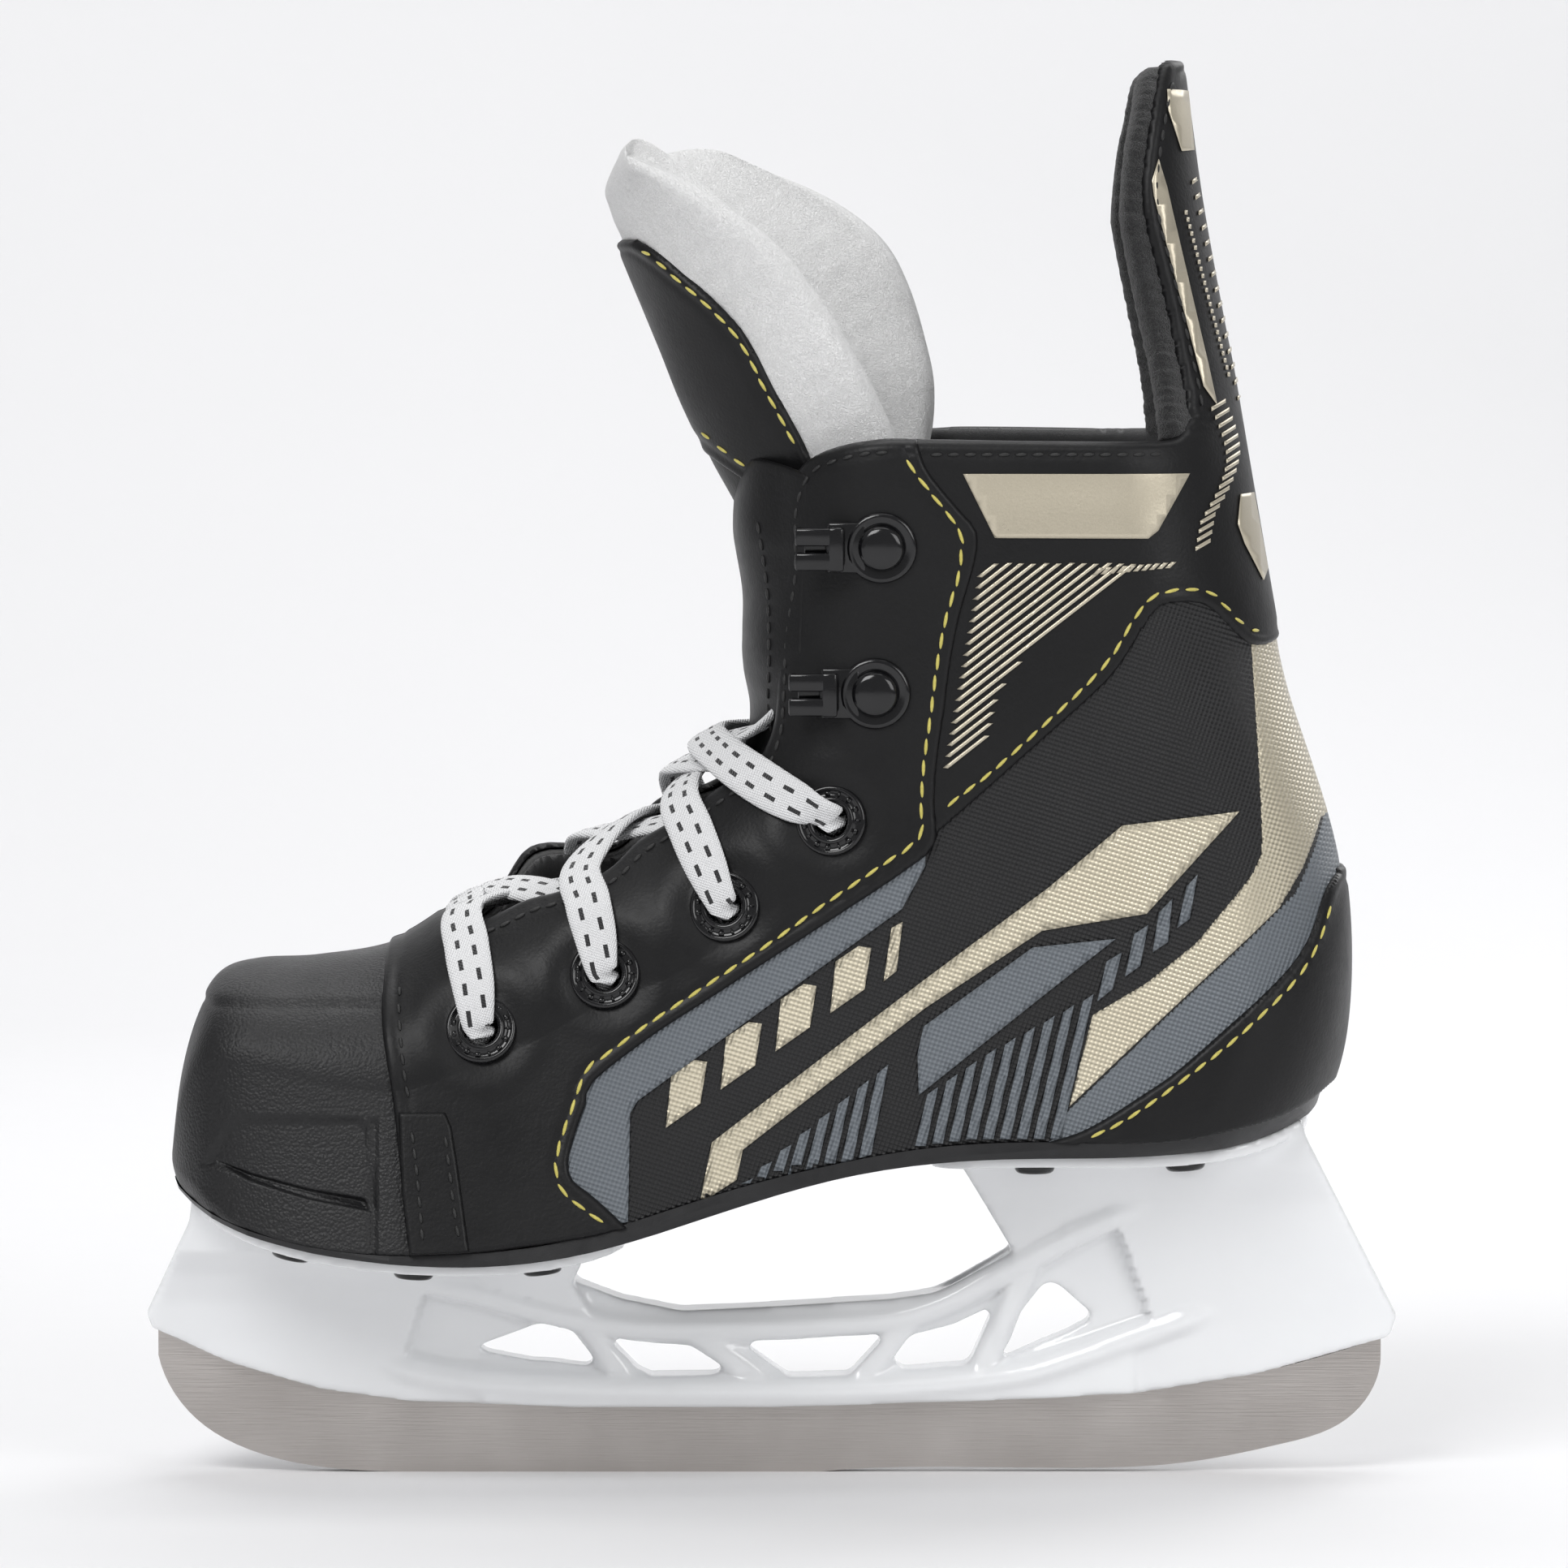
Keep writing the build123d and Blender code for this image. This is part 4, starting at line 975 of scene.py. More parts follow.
def film(name: str, shapes: list[Path], panel: Panel, finish: Finish,
         lift: float = 0.16) -> bpy.types.Object:
    """Lay flat printed shapes on a panel, on both sides.

    Args:
        name: Name of the piece.
        shapes: Outlines (x, z) of the shapes.
        panel: Panel that they are printed on.
        finish: Their finish.
        lift: Height above the panel.

    Returns:
        The printed piece, a closed film.
    """
    lattice_step = 1.6
    whole = bmesh.new()
    for side in BOTH:
        for shape in shapes:
            bm = bmesh.new()
            bm.faces.new([bm.verts.new((x, 0, z)) for x, z in shape])
            xs, zs = [p[0] for p in shape], [p[1] for p in shape]
            for x in np.arange(min(xs) + lattice_step / 2, max(xs), lattice_step):
                geom = list(bm.verts) + list(bm.edges) + list(bm.faces)
                bmesh.ops.bisect_plane(bm, geom=geom, dist=0.01, plane_co=(x, 0, 0), plane_no=(1, 0, 0))
            for z in np.arange(min(zs) + lattice_step / 2, max(zs), lattice_step):
                geom = list(bm.verts) + list(bm.edges) + list(bm.faces)
                bmesh.ops.bisect_plane(bm, geom=geom, dist=0.01, plane_co=(0, 0, z), plane_no=(0, 0, 1))
            lost = []
            for vert in bm.verts:
                found = panel.place(vert.co.x, vert.co.z, side, lift)
                if found is None:
                    lost.append(vert)
                else:
                    vert.co = found[0]
            bmesh.ops.delete(bm, geom=lost, context="VERTS")
            bm.normal_update()
            faces = list(bm.faces)
            if faces and sum(f.normal.y * f.calc_area() for f in faces) * side.sign < 0:
                bmesh.ops.reverse_faces(bm, faces=faces)
            mesh = bpy.data.meshes.new("shape")
            bm.to_mesh(mesh)
            bm.free()
            whole.from_mesh(mesh)
            bpy.data.meshes.remove(mesh)
    bmesh.ops.triangulate(whole, faces=[f for f in whole.faces if len(f.verts) > 4])
    whole.normal_update()
    bmesh.ops.solidify(whole, geom=list(whole.faces), thickness=-0.12)
    return to_piece(whole, name, finish)


def smoothstep(value: np.ndarray, low: float, high: float) -> np.ndarray:
    """Smooth change from 0 at low to 1 at high."""
    t = np.clip((value - low) / (high - low), 0, 1)
    return t * t * (3 - 2 * t)


def straight(*points: Point) -> Edge:
    """Plain outline run of straight lines, hidden or unrolled."""
    return Edge(list(points), bend=False)


# ---------------------------------------------------------------- lines that panels share, mm (x, z)
THROAT = [
    (-54.5, 98), (-52, 93.8), (-50, 92.4), (-46, 93.8), (-40, 96.7), (-34, 98.4), (-27, 101.6),
    (-22, 106.2), (-17, 109.2), (-12, 112.7), (-7, 116.2), (-3, 118.9), (-1.2, 121.6), (0.3, 126.2),
    (0.8, 133.2), (1.2, 141.2), (1.8, 150.2), (1.8, 157), (2, 161), (3.5, 166), (6, 169), (10, 170.6),
    (15, 171.6), (19.5, 172), (23.5, 172),
]
FEATHER = [
    (-58.7, 39.7), (-49, 40.1), (-40, 41.1), (-30, 42.6), (-25, 43.8), (-20, 45.9), (-10, 49.1), (0, 51.9),
    (10, 54.2), (20, 55.9), (30, 57.2), (40, 57.6), (50, 57.3), (60, 57.4), (67, 57.9), (75, 59.4),
    (80, 60.4), (85, 61.9), (88.5, 63.7), (94, 66.5), (112, 72),
]
COLLAR_FOOT = [
    (84, 138.9), (81, 138), (78.5, 138.2), (76, 139.9), (74, 142), (72, 144), (69.5, 145.3), (66, 145.5),
    (63, 144.8), (61, 142.5), (58, 137.5), (55, 133.3), (50, 128.5), (45, 124), (35, 115), (27, 108),
    (20, 102),
]
COUNTER_TOP = [
    (112, 101.4), (94.5, 101.3), (93, 100.5), (91, 98.5), (89.5, 95), (88, 91), (85, 86.5), (80, 81.5),
    (75, 77), (70, 72.5), (65, 68.3), (60, 65), (55, 61.8), (50, 59.2), (45, 57.7),
]
FACING_BACK = [
    (23.5, 172), (25, 167.5), (28, 163.5), (31, 160), (33.3, 157), (33, 152.2), (30.5, 143.2), (29, 135.2),
    (28, 127.2), (27, 120.2), (26.5, 113.2), (26.5, 106.2), (22, 102), (10, 94), (0, 87.5), (-10, 81),
    (-20, 74.5), (-29, 67.5), (-30.2, 64), (-32, 59), (-33, 54.5), (-32.3, 51.8), (-30, 50), (-27, 47.5),
    (-23.5, 44.2),
]
GUARD_FRONT = [
    (68.2, 175.5), (67.6, 180), (66, 187), (65, 192), (63, 200), (61.3, 206.5), (60.6, 212), (61, 217),
    (62, 223), (63.2, 229), (64.4, 233), (66.2, 234.2),
]
FAR_HUMPS = [(-36, 8.5, 8.0), (-17, 5, 3.5)]
EYELETS = [(-47.3, 76.2), (-27.2, 85.0), (-7.7, 95.9), (9.6, 110.0)]
HOOKS = [(16.8, 130.7), (17.8, 154.4)]
FEATHER_FRONT = [p for p in FEATHER if p[0] < -23]


def part_of(line: Path, low: float, high: float) -> Path:
    """Points of a line whose x lies between two values."""
    return [p for p in line if low <= p[0] <= high]


def offset_line(line: Path, dx: float, dz: float) -> Path:
    """Line moved by an amount."""
    return [(x + dx, z + dz) for x, z in line]


FORM = BootForm()


@dataclass
class Upper:
    """Sewn boot: facings, ankle collar with its tendon flap, textile sides and heel counter.

    Attributes:
        facing_lift: Height of the facings above the form.
        collar_lift: Height of the collar.
        counter_lift: Height of the heel counter.
        tab_lift: Height of the vamp tabs.
        eyelet_hole: Radius of the eyelet holes.
    """

    facing_lift: float = 1.3
    collar_lift: float = 0.6
    counter_lift: float = 1.0
    tab_lift: float = 2.0
    eyelet_hole: float = 3.1
    panels: dict[str, Panel] = field(default_factory=dict)

    def facing(self, side: Side) -> Panel:
        """Leather facing and vamp of one side."""
        return Panel(
            f"facing_skin_{side.value}", FORM,
            [
                Edge([(-58.7, 39.7), (-59.7, 48.2), (-61.5, 64.2), (-63.4, 76.2), (-63.4, 84), (-62.5, 98)],
                     rounding=0.9, groove=2.4),
                straight((-62.5, 98), (-54.5, 98)),
                Edge(THROAT, rounding=0.8, roll=2.2, groove=2.1),
                Edge(FACING_BACK, rounding=0.8, groove=2.1),
                Edge(FEATHER_FRONT[::-1], rounding=0.5),
            ],
            LEATHER, (side,), self.facing_lift, 1.6,
            holes=[(x, z, self.eyelet_hole) for x, z in EYELETS],
            dimples=([(x, z, 5.2, 1.8, 0.55) for x, z in EYELETS]
                     + [(x, z, 9.6, 1.6, -0.16) for x, z in EYELETS]),
            shape=self.facing_folds,
        )

    @staticmethod
    def facing_folds(places: np.ndarray) -> np.ndarray:
        """Soft swelling between the eyelets, as the lace pulls the facing in."""
        swell = np.zeros(len(places))
        for (xa, za), (xb, zb) in zip(EYELETS, EYELETS[1:]):
            away = np.hypot(places[:, 0] - (xa + xb) / 2 + 2, places[:, 2] - (za + zb) / 2 - 4)
            swell += 0.55 * np.exp(-(away / 6.5) ** 2)
        return swell + Upper.far_swell(places)

    @staticmethod
    def far_swell(places: np.ndarray) -> np.ndarray:
        """The medial facing stands up between the first two crossings."""
        across = smoothstep(places[:, 1], 6, 17) * smoothstep(places[:, 2], 84, 97)
        hump = sum(height * np.exp(-((places[:, 0] - x) / spread) ** 2) for x, spread, height in FAR_HUMPS)
        return hump * across * smoothstep(places[:, 2], 125, 112)

    def collar(self) -> Panel:
        """Smooth ankle collar that runs up into the tendon flap, in one piece round the heel."""
        return Panel(
            "collar_skin", FORM,
            [
                Edge([(18, 172), (40, 172), (55, 172), (64.5, 172.1), (66.8, 173.1), (68.2, 175.5)],
                     rounding=0.8, roll=2.2,
                     groove=2.4),
                Edge(GUARD_FRONT, rounding=0.8, roll=0.9, reach=1.6, groove=2.2),
                Edge([(66.2, 234.2), (112, 234.2)], rounding=0.8, roll=0.9, reach=1.6),
                straight((112, 234.2), (112, 139)),
                straight((112, 139), (84, 138.9)),
                Edge(COLLAR_FOOT, rounding=0.8, groove=2.0),
                straight((20, 102), (18, 172)),
            ],
            LEATHER, BOTH, self.collar_lift, 1.5,
        )

    def counter(self) -> Panel:
        """Moulded heel counter round the back of the heel."""
        return Panel(
            "heel_counter_skin", FORM,
            [Edge(COUNTER_TOP, rounding=0.9, groove=2.2), Edge(part_of(FEATHER, 45, 120), rounding=0.5)],
            LEATHER, BOTH, self.counter_lift, 1.8,
        )

    def quarter(self, side: Side) -> Panel:
        """Embossed textile side, tucked under its neighbours."""
        return Panel(
            f"quarter_textile_{side.value}", FORM,
            [
                straight((-38, 41.4), (-38, 60), (-33, 70), (-20, 79), (0, 92), (21, 106), (30, 118),
                         (45, 130), (55, 141), (62, 150), (112, 150)),
                straight((112, 150), (112, 72)),
                Edge(part_of(FEATHER, -38, 120)[::-1], rounding=0.4),
            ],
            TEXTILE, (side,), 0.0, 1.3,
        )

    def inner_layer(self, side: Side, name: str, finish: Finish, lift: float, thickness: float,
                    roll: float) -> Panel:
        """Padding or lining of one side, under the skins up to the rims."""
        foot = offset_line(FEATHER, 0, 1.2)
        rim = 173.8 if side is Side.MEDIAL else 172.0
        return Panel(
            f"{name}_{side.value}", FORM,
            [
                straight((-60.5, 40.9), (-62.5, 98), (-54.5, 98)),
                Edge(THROAT, rounding=min(1.4, thickness / 2), roll=roll),
                Edge([(23.5, 172), (30, rim), (60, rim), (112, rim)], rounding=min(1.4, thickness / 2),
                     roll=roll),
                straight((112, rim), (112, 73.2)),
                Edge(foot[::-1], rounding=0.5),
            ],
            finish, (side,), lift, thickness, refine=1.5, shape=self.far_swell,
            holes=[(x, z, self.eyelet_hole) for x, z in EYELETS],
        )

    def tab(self, side: Side) -> Panel:
        """Small stitched tab where the vamp meets the toe cap."""
        return Panel(
            f"vamp_tab_skin_{side.value}", FORM,
            [straight((-58.7, 39.9), (-60.0, 50), (-60.6, 62.5), (-53, 62.5), (-52, 60.2), (-51, 54.2),
                      (-50, 47.2),
                      (-49, 40.4))],
            LEATHER, (side,), self.tab_lift, 1.2,
        )

    def build(self) -> None:
        """Make all panels, then their seams."""
        collar = self.collar()
        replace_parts(collar.build(), "collar_panel_lateral", "collar_panel_medial", "tendon_guard_skin")
        self.panels["collar"] = collar
        counter = self.counter()
        finish_piece(counter.build(), "root", "heel_counter")
        self.panels["counter"] = counter
        for side in BOTH:
            facing, quarter, tab = self.facing(side), self.quarter(side), self.tab(side)
            finish_piece(facing.build(), "root", f"facing_{side.value}")
            finish_piece(quarter.build(), "root", f"quarter_{side.value}")
            finish_piece(tab.build(), "root", f"vamp_tab_{side.value}")
            padding = self.inner_layer(side, "padding", FOAM, -0.9, 3.6, 0.0)
            piece = finish_piece(padding.build(), "root", f"ankle_padding_{side.value}",
                                 f"facing_backer_{side.value}")
            lining = self.inner_layer(side, "lining_cloth", LINING, -4.5, 1.2, -2.0)
            finish_piece(lining.build(), "root", f"lining_{side.value}")
            self.panels[f"facing_{side.value}"] = facing
            self.panels[f"quarter_{side.value}"] = quarter
            self.panels[f"tab_{side.value}"] = tab
            self.sew(side)
        self.sew_collar()

    def sew(self, side: Side) -> None:
        """Stitch one side's facing and tab."""
        facing = self.panels[f"facing_{side.value}"]
        yellow = Seam(
            [(21.2, 170.8), (22.3, 168), (25, 164.3), (28, 160.5), (30.6, 156.6), (30.3, 150), (28.3, 143),
             (26.8, 135), (25.8, 127), (24.8, 120), (24.3, 113), (24, 107.4), (20, 104.2), (15, 100.8),
             (8, 96), (0, 90.3), (-10, 83.6), (-20, 77), (-27.2, 71.8), (-30.2, 69.3), (-32.2, 64),
             (-34, 59), (-35, 54.6), (-34.3, 50.9), (-31.5, 48.1), (-28, 45.6), (-25.6, 43.9)],
            YELLOW, 3.5, 2.8, 0.62,
        )
        finish_piece(sew_rows(f"facing_stitch_{side.value}", [yellow], facing, [side]), "root")
        throat = ([(x + 1.3, z - 1.7) for x, z in THROAT[2:16]]
                  + [(x + 2.1, z - 0.5) for x, z in THROAT[16:19]])
        throat += [(5.2, 164.4), (7.2, 167.1), (10.8, 168.6), (15, 169.6), (20.5, 169.9)]
        black = [
            Seam(throat, BLACK_THREAD),
            Seam([(-60.5, 84.5), (-60.8, 80.2), (-60.2, 73.2), (-59.4, 67.2), (-58.6, 63.6)], BLACK_THREAD),
        ]
        finish_piece(sew_rows(f"facing_edge_stitch_{side.value}", black, facing, [side]), "root")
        tab = self.panels[f"tab_{side.value}"]
        rows = [
            Seam([(-53.2, 61), (-52.3, 54.2), (-51.4, 47.2), (-50.4, 41.2)], BLACK_THREAD),
            Seam([(-58.6, 61.4), (-57.6, 54), (-57, 48), (-56.4, 41)], BLACK_THREAD),
        ]
        finish_piece(sew_rows(f"tab_stitch_{side.value}", rows, tab, [side]), "root")

    def sew_collar(self) -> None:
        """Stitch the collar, the tendon flap and the counter on both sides."""
        collar = self.panels["collar"]
        foot = Seam(
            [(27, 110.9), (30, 113.5), (35, 117.3), (40, 121.7), (45, 126.3), (50, 131), (55, 136.5),
             (58, 141.5), (60, 144.5), (62, 146.5), (65, 147.4), (69, 147.5), (72, 146.6), (74, 144.6),
             (76, 142.5), (79, 140.6), (82.5, 140.6)],
            YELLOW, 3.4, 2.7, 0.6,
        )
        finish_piece(sew_rows("collar_stitch", [foot], collar, BOTH), "root")
        rim = Seam([(24, 169.5), (40, 169.5), (60, 169.5), (65, 169.8)], BLACK_THREAD)
        finish_piece(sew_rows("rim_stitch", [rim], collar, BOTH), "root")
        flap = Seam([(x + 2.1, z) for x, z in GUARD_FRONT[:-2]] + [(66.6, 232)], BLACK_THREAD)
        piece = sew_rows("tendon_flap_stitch", [flap], collar, BOTH)
        for each in (piece, bpy.data.objects["collar_skin"]):
            blend_flap(each)
        counter = self.panels["counter"]
        row = Seam(
            [(50, 57.9), (55, 59.9), (60, 62.8), (65, 66.3), (70, 70), (75, 74), (80, 78.5), (85, 83.3),
             (88, 87.2), (90, 91), (91.5, 95), (92.6, 97.4)],
            YELLOW, 3.4, 2.7, 0.6,
        )
        finish_piece(sew_rows("counter_stitch", [row], counter, BOTH), "root")


def blend_flap(piece: bpy.types.Object) -> None:
    """Bake a piece's placement into its mesh."""
    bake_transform(piece)


def blend_tongue(piece: bpy.types.Object) -> None:
    """Bake a piece's placement into its mesh."""
    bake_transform(piece)


@dataclass
class ToeCap:
    """Moulded toe cap with a sunken side panel, a wedge groove and a shoulder line.

    Attributes:
        wall: Thickness of the cap.
        recess: Outline of the sunken panel.
        wedge: Outline of the groove in it.
    """

    wall: float = 2.4
    recess: Path = field(default_factory=lambda: [
        (-93.5, 53.5), (-90.5, 58.5), (-87.5, 62.2), (-66.6, 62.2), (-65.2, 60.6), (-63.6, 46.6),
        (-75, 49.4), (-85, 51.8),
    ])
    wedge: Path = field(default_factory=lambda: [
        (-92.2, 55.2), (-85, 53.0), (-75, 50.6), (-66, 49.2), (-64.6, 46.7), (-75, 48.6), (-85, 51.4),
    ])
    shoulder: float = 79.4

    def relief(self, places: np.ndarray) -> np.ndarray:
        """Height of the moulded detail."""
        flat = places[:, [0, 2]]
        height = np.zeros(len(places))
        sides = smoothstep(np.abs(places[:, 1]), 12, 18)
        for outline, depth, soft in ((self.recess, 0.75, 1.3), (self.wedge, 1.15, 0.55)):
            corners = np.array(outline, float)
            away = distance_to(flat, np.vstack([corners, corners[:1]]))
            height -= depth * smoothstep(away, 0, soft) * inside(flat, corners) * sides
        height += 0.45 * smoothstep(places[:, 2], self.shoulder - 0.5, self.shoulder + 0.5)
        height -= 0.3 * np.exp(-((places[:, 2] - self.shoulder) / 0.6) ** 2)
        height -= 0.6 * np.exp(-((places[:, 0] + 64.6) / 0.6) ** 2) * smoothstep(62 - places[:, 2], 0, 1)
        return height

    def build(self) -> None:
        """Make the cap."""
        front = [(-98.6, 50.2), (-98, 49.6), (-96, 47.8), (-93, 46.1), (-90, 44.7), (-80, 41.6),
                 (-70, 39.8), (-56, 39.3)]
        cap = Panel(
            "toe_cap_shell", FORM,
            [
                straight((-112, 50.3), (-98.6, 50.2)), Edge(front, rounding=1.0),
                straight((-56, 39.3), (-57, 60), (-59, 76), (-58, 99), (-112, 99), (-112, 50.3)),
            ],
            TOE, BOTH, 0.2, self.wall, shape=self.relief, refine=14.0,
        )
        finish_piece(cap.build(), "root", "toe_cap", "toe_lining")


STRIPE_END_Z = (117.0, 119.5, 131.0, 136.0, 151.0, 152.0)
STRIPE_END_X = (31.5, 33.5, 36.5, 40.0, 58.0, 60.0)


@dataclass
class Prints:
    """Printed stripes and plates on the textile and on the collar."""

    quarter_lift: float = 0.12

    def band_shapes(self) -> list[Path]:
        """Grey band under the facing and the grey arrow with its comb."""
        return [
            [(-30, 70), (25, 107), (25, 102.6), (21.2, 95.6), (20.4, 95), (-21.8, 64.5), (-23, 62.5),
             (-23.3, 45.2), (-30, 43.5), (-36, 50), (-34, 62)],
            [(24.7, 76.5), (42.5, 89.3), (56, 90.7), (43, 80.5), (30, 70.2), (23.9, 65.4), (23.7, 72)],
            [(53, 80.5), (54.5, 87), (57, 88.5), (55.5, 82.5)],
            [(57.5, 84.5), (59, 91.5), (61.3, 93), (60, 86.3)],
            [(62, 88.5), (63, 95), (65.2, 97.3), (64.5, 90.2)],
            [(66, 92.5), (67.5, 99.3), (69.3, 101.3), (68, 94)],
        ]

    def comb_shapes(self) -> list[Path]:
        """Grey bars that rise from the sole under the arrow."""
        shapes = []
        for i in range(8):
            x = -6.5 + 2.95 * i
            low = 48.9 + 1.05 * i - 0.02 * i * i
            shapes.append([(x, low), (x + 2.0, low + 0.6), (x + 3.4 + 0.2 * i, low + 3.2 + 1.7 * i),
                           (x + 1.6 + 0.2 * i, low + 2.4 + 1.6 * i)])
        for i in range(9):
            x = 23.3 + 2.75 * i
            low = 57.2 + (0.35 * i if i < 3 else 1.0)
            rise = 8.3 + 1.75 * i
            shapes.append([(x, low), (x + 1.75, low), (x + 1.75 + 0.24 * rise, low + rise + 1.2),
                           (x + 0.24 * rise, low + rise)])
        return shapes

    def gold_shapes(self) -> list[Path]:
        """Champagne stripe with its foot, the short slash and plain tiles."""
        shapes = [
            [(-11.7, 48.1), (-5.7, 51.9), (-4.7, 56.7), (25, 79.5), (44, 92), (61, 94.8), (76, 111.5),
             (57, 109.2), (45, 99), (25, 84.2), (0, 65.3), (-9.7, 57.9)],
            [(18.2, 83.8), (20.3, 85.5), (21.3, 93.5), (19.5, 92.5)],
        ]
        return shapes + self.tiles()

    def tiles(self) -> list[Path]:
        """Four plain slanted tiles in the middle of the side, each with a cut corner."""
        shapes = []
        for i in range(4):
            x, z = -17.2 + 8.9 * i, 60.2 + 6.15 * i
            shapes.append([
                (x, z), (x + 5.6, z + 3.9), (x + 6.7, z + 10.6), (x + 4.6, z + 10.9), (x + 0.9, z + 8.4),
            ])
        return shapes

    def heel(self) -> list[Panel]:
        """Champagne and grey heel bands, in one piece round the back."""
        lower = [(45, 58.3), (52, 61.6), (60, 67.8), (70, 75.8), (80, 85.2), (86, 91.6), (90, 98.5),
                 (93, 101), (112, 101)]
        return [
            Panel(
                "heel_band_grey", FORM,
                [straight((45, 57.5), (48.3, 63.0), (83, 96), (85.5, 98.2), (89, 105.5), (91, 110.5),
                          (112, 110.5), (112, 90),
                          (90, 90), (80, 78), (60, 60))],
                SLATE_WEAVE, BOTH, self.quarter_lift - 0.04, 0.3,
            ),
            Panel(
                "heel_band_gold", FORM,
                [straight((48.3, 63.3), (52.2, 78.3), (61, 83.5), (69, 90), (78, 101), (79.7, 104.5),
                          (79.7, 110), (78.9, 128), (78.3, 141), (112, 141), (112, 110), (90.4, 109.7),
                          (86.8, 101.8),
                          (83, 96))],
                GOLD_WEAVE, BOTH, self.quarter_lift, 0.3,
            ),
        ]

    def collar_shapes(self) -> list[Path]:
        """Plate and thin slanted stripes on the collar."""
        shapes = [[(31, 166.4), (67.8, 166.4), (62.6, 157.2), (61, 155.9), (36.2, 156.0)]]
        for low in np.arange(118.6, 150.5, 1.83):
            left = 27.6 + 0.175 * (low - 117.3)
            reach = np.arange(0.5, 34.0, 0.25)
            rise = low + 0.78 * reach
            free = (rise < 152.0) & (left + reach < np.interp(rise, STRIPE_END_Z, STRIPE_END_X))
            run = reach[free].max() if free.any() else 0.0
            if run > 1.5:
                shapes.append([(left, low), (left + 0.85, low - 0.1), (left + run + 0.85, low + 0.78 * run),
                               (left + run, low + 0.78 * run)])
        for i in range(10):
            shapes.append([(52.0 + 1.3 * i, 150.0 + 0.12 * i), (52.8 + 1.3 * i, 150.0 + 0.12 * i),
                           (53.9 + 1.3 * i, 151.2 + 0.1 * i), (53.1 + 1.3 * i, 151.2 + 0.1 * i)])
        return shapes

    def flap_shapes(self) -> list[Path]:
        """Bars and plates on the tendon flap and above the heel."""
        shapes = [
            [(63, 217.5), (61.9, 214), (62.2, 211.5), (70.3, 180.5), (72.6, 177.4), (71.2, 184),
             (65.3, 209), (64.4, 213)],
            [(64.6, 229), (68.4, 229), (69.3, 219.2), (67.0, 218.9), (64.7, 225.6)],
            [(76.6, 162.8), (79.2, 163), (80.3, 157.2), (81.6, 150.5), (80.6, 148.6), (77.2, 154.8),
             (76, 158)],
        ]
        for i in range(17):
            t = i / 16
            x = 71.6 + 2.6 * math.sin(math.pi * min(1, t * 1.25)) - 4.4 * max(0, t - 0.35)
            z = 176.4 - 22.6 * t
            shapes.append([(x, z), (x + 2.5, z + 1.35), (x + 2.5, z + 2.0), (x, z + 0.65)])
        for i in range(24):
            t = i / 23
            x, z = 67.4 + 7.2 * t, 208.5 - 26.5 * t
            shapes.append([(x, z), (x + 0.45, z), (x + 0.45, z + 0.7), (x, z + 0.7)])
        for i in range(16):
            t = i / 15
            x, z = 68.2 + 8.2 * t, 213.5 - 38 * t
            shapes.append([(x + 0.6, z), (x + 2.4, z + 1.3), (x + 2.4, z + 2.0), (x + 0.6, z + 0.7)])
        return shapes

    def build(self, upper: Upper) -> None:
        """Print everything on the panels."""
        lateral, medial = upper.panels["quarter_lateral"], upper.panels["quarter_medial"]
        carrier = TwoSided(lateral, medial)
        finish_piece(film("side_print_grey", self.band_shapes(), carrier, SLATE_WEAVE), "root")
        finish_piece(film("side_comb_grey", self.comb_shapes(), carrier, SLATE_WEAVE), "root")
        finish_piece(film("side_print_gold", self.gold_shapes(), carrier, GOLD_WEAVE, 0.1), "root")
        for panel in self.heel():
            finish_piece(panel.build(), "root")
        collar = upper.panels["collar"]
        finish_piece(film("collar_print_gold", self.collar_shapes(), collar, GOLD_FILM), "root")
        blend_flap(film("flap_print_gold", self.flap_shapes(), collar, GOLD_FILM))


@dataclass
class TwoSided:
    """Pair of panels asked for a place as if they were one."""

    lateral: Panel
    medial: Panel

    def place(self, x: float, z: float, side: Side, lift: float = 0.0) -> tuple[Vector, Vector] | None:
        """Ask the panel of that side."""
        panel = self.lateral if side is Side.LATERAL else self.medial
        return panel.place(x, z, side, lift)


@dataclass
class Flap:
    """Padding of the tendon flap, with its soft front edge."""

    lift: float = -0.7
    thickness: float = 4.6

    def build(self) -> None:
        """Make the padding."""
        pad = Panel(
            "tendon_flap_padding", FORM,
            [
                Edge([(65, 172.3), (63.4, 183), (60.4, 194), (57.4, 206), (57.0, 210), (58.2, 220),
                      (59.7, 225), (61.5, 231.5),
                      (64, 233.4)], rounding=2.2),
                Edge([(64, 233.4), (112, 233.4)], rounding=2.0),
                straight((112, 233.4), (112, 172.3), (65, 172.3)),
            ],
            DARK_FELT, BOTH, self.lift, self.thickness, shape=self.lumps,
        )
        piece = pad.build()
        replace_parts(piece, "tendon_guard_felt", "tendon_guard_stiffener")
        blend_flap(piece)

    @staticmethod
    def lumps(places: np.ndarray) -> np.ndarray:
        """Slight unevenness of a pressed felt."""
        return (0.16 * np.sin(places[:, 2] * 1.9) * np.sin(places[:, 1] * 1.3)
                + 0.1 * np.sin(places[:, 2] * 4.7 + places[:, 0]))


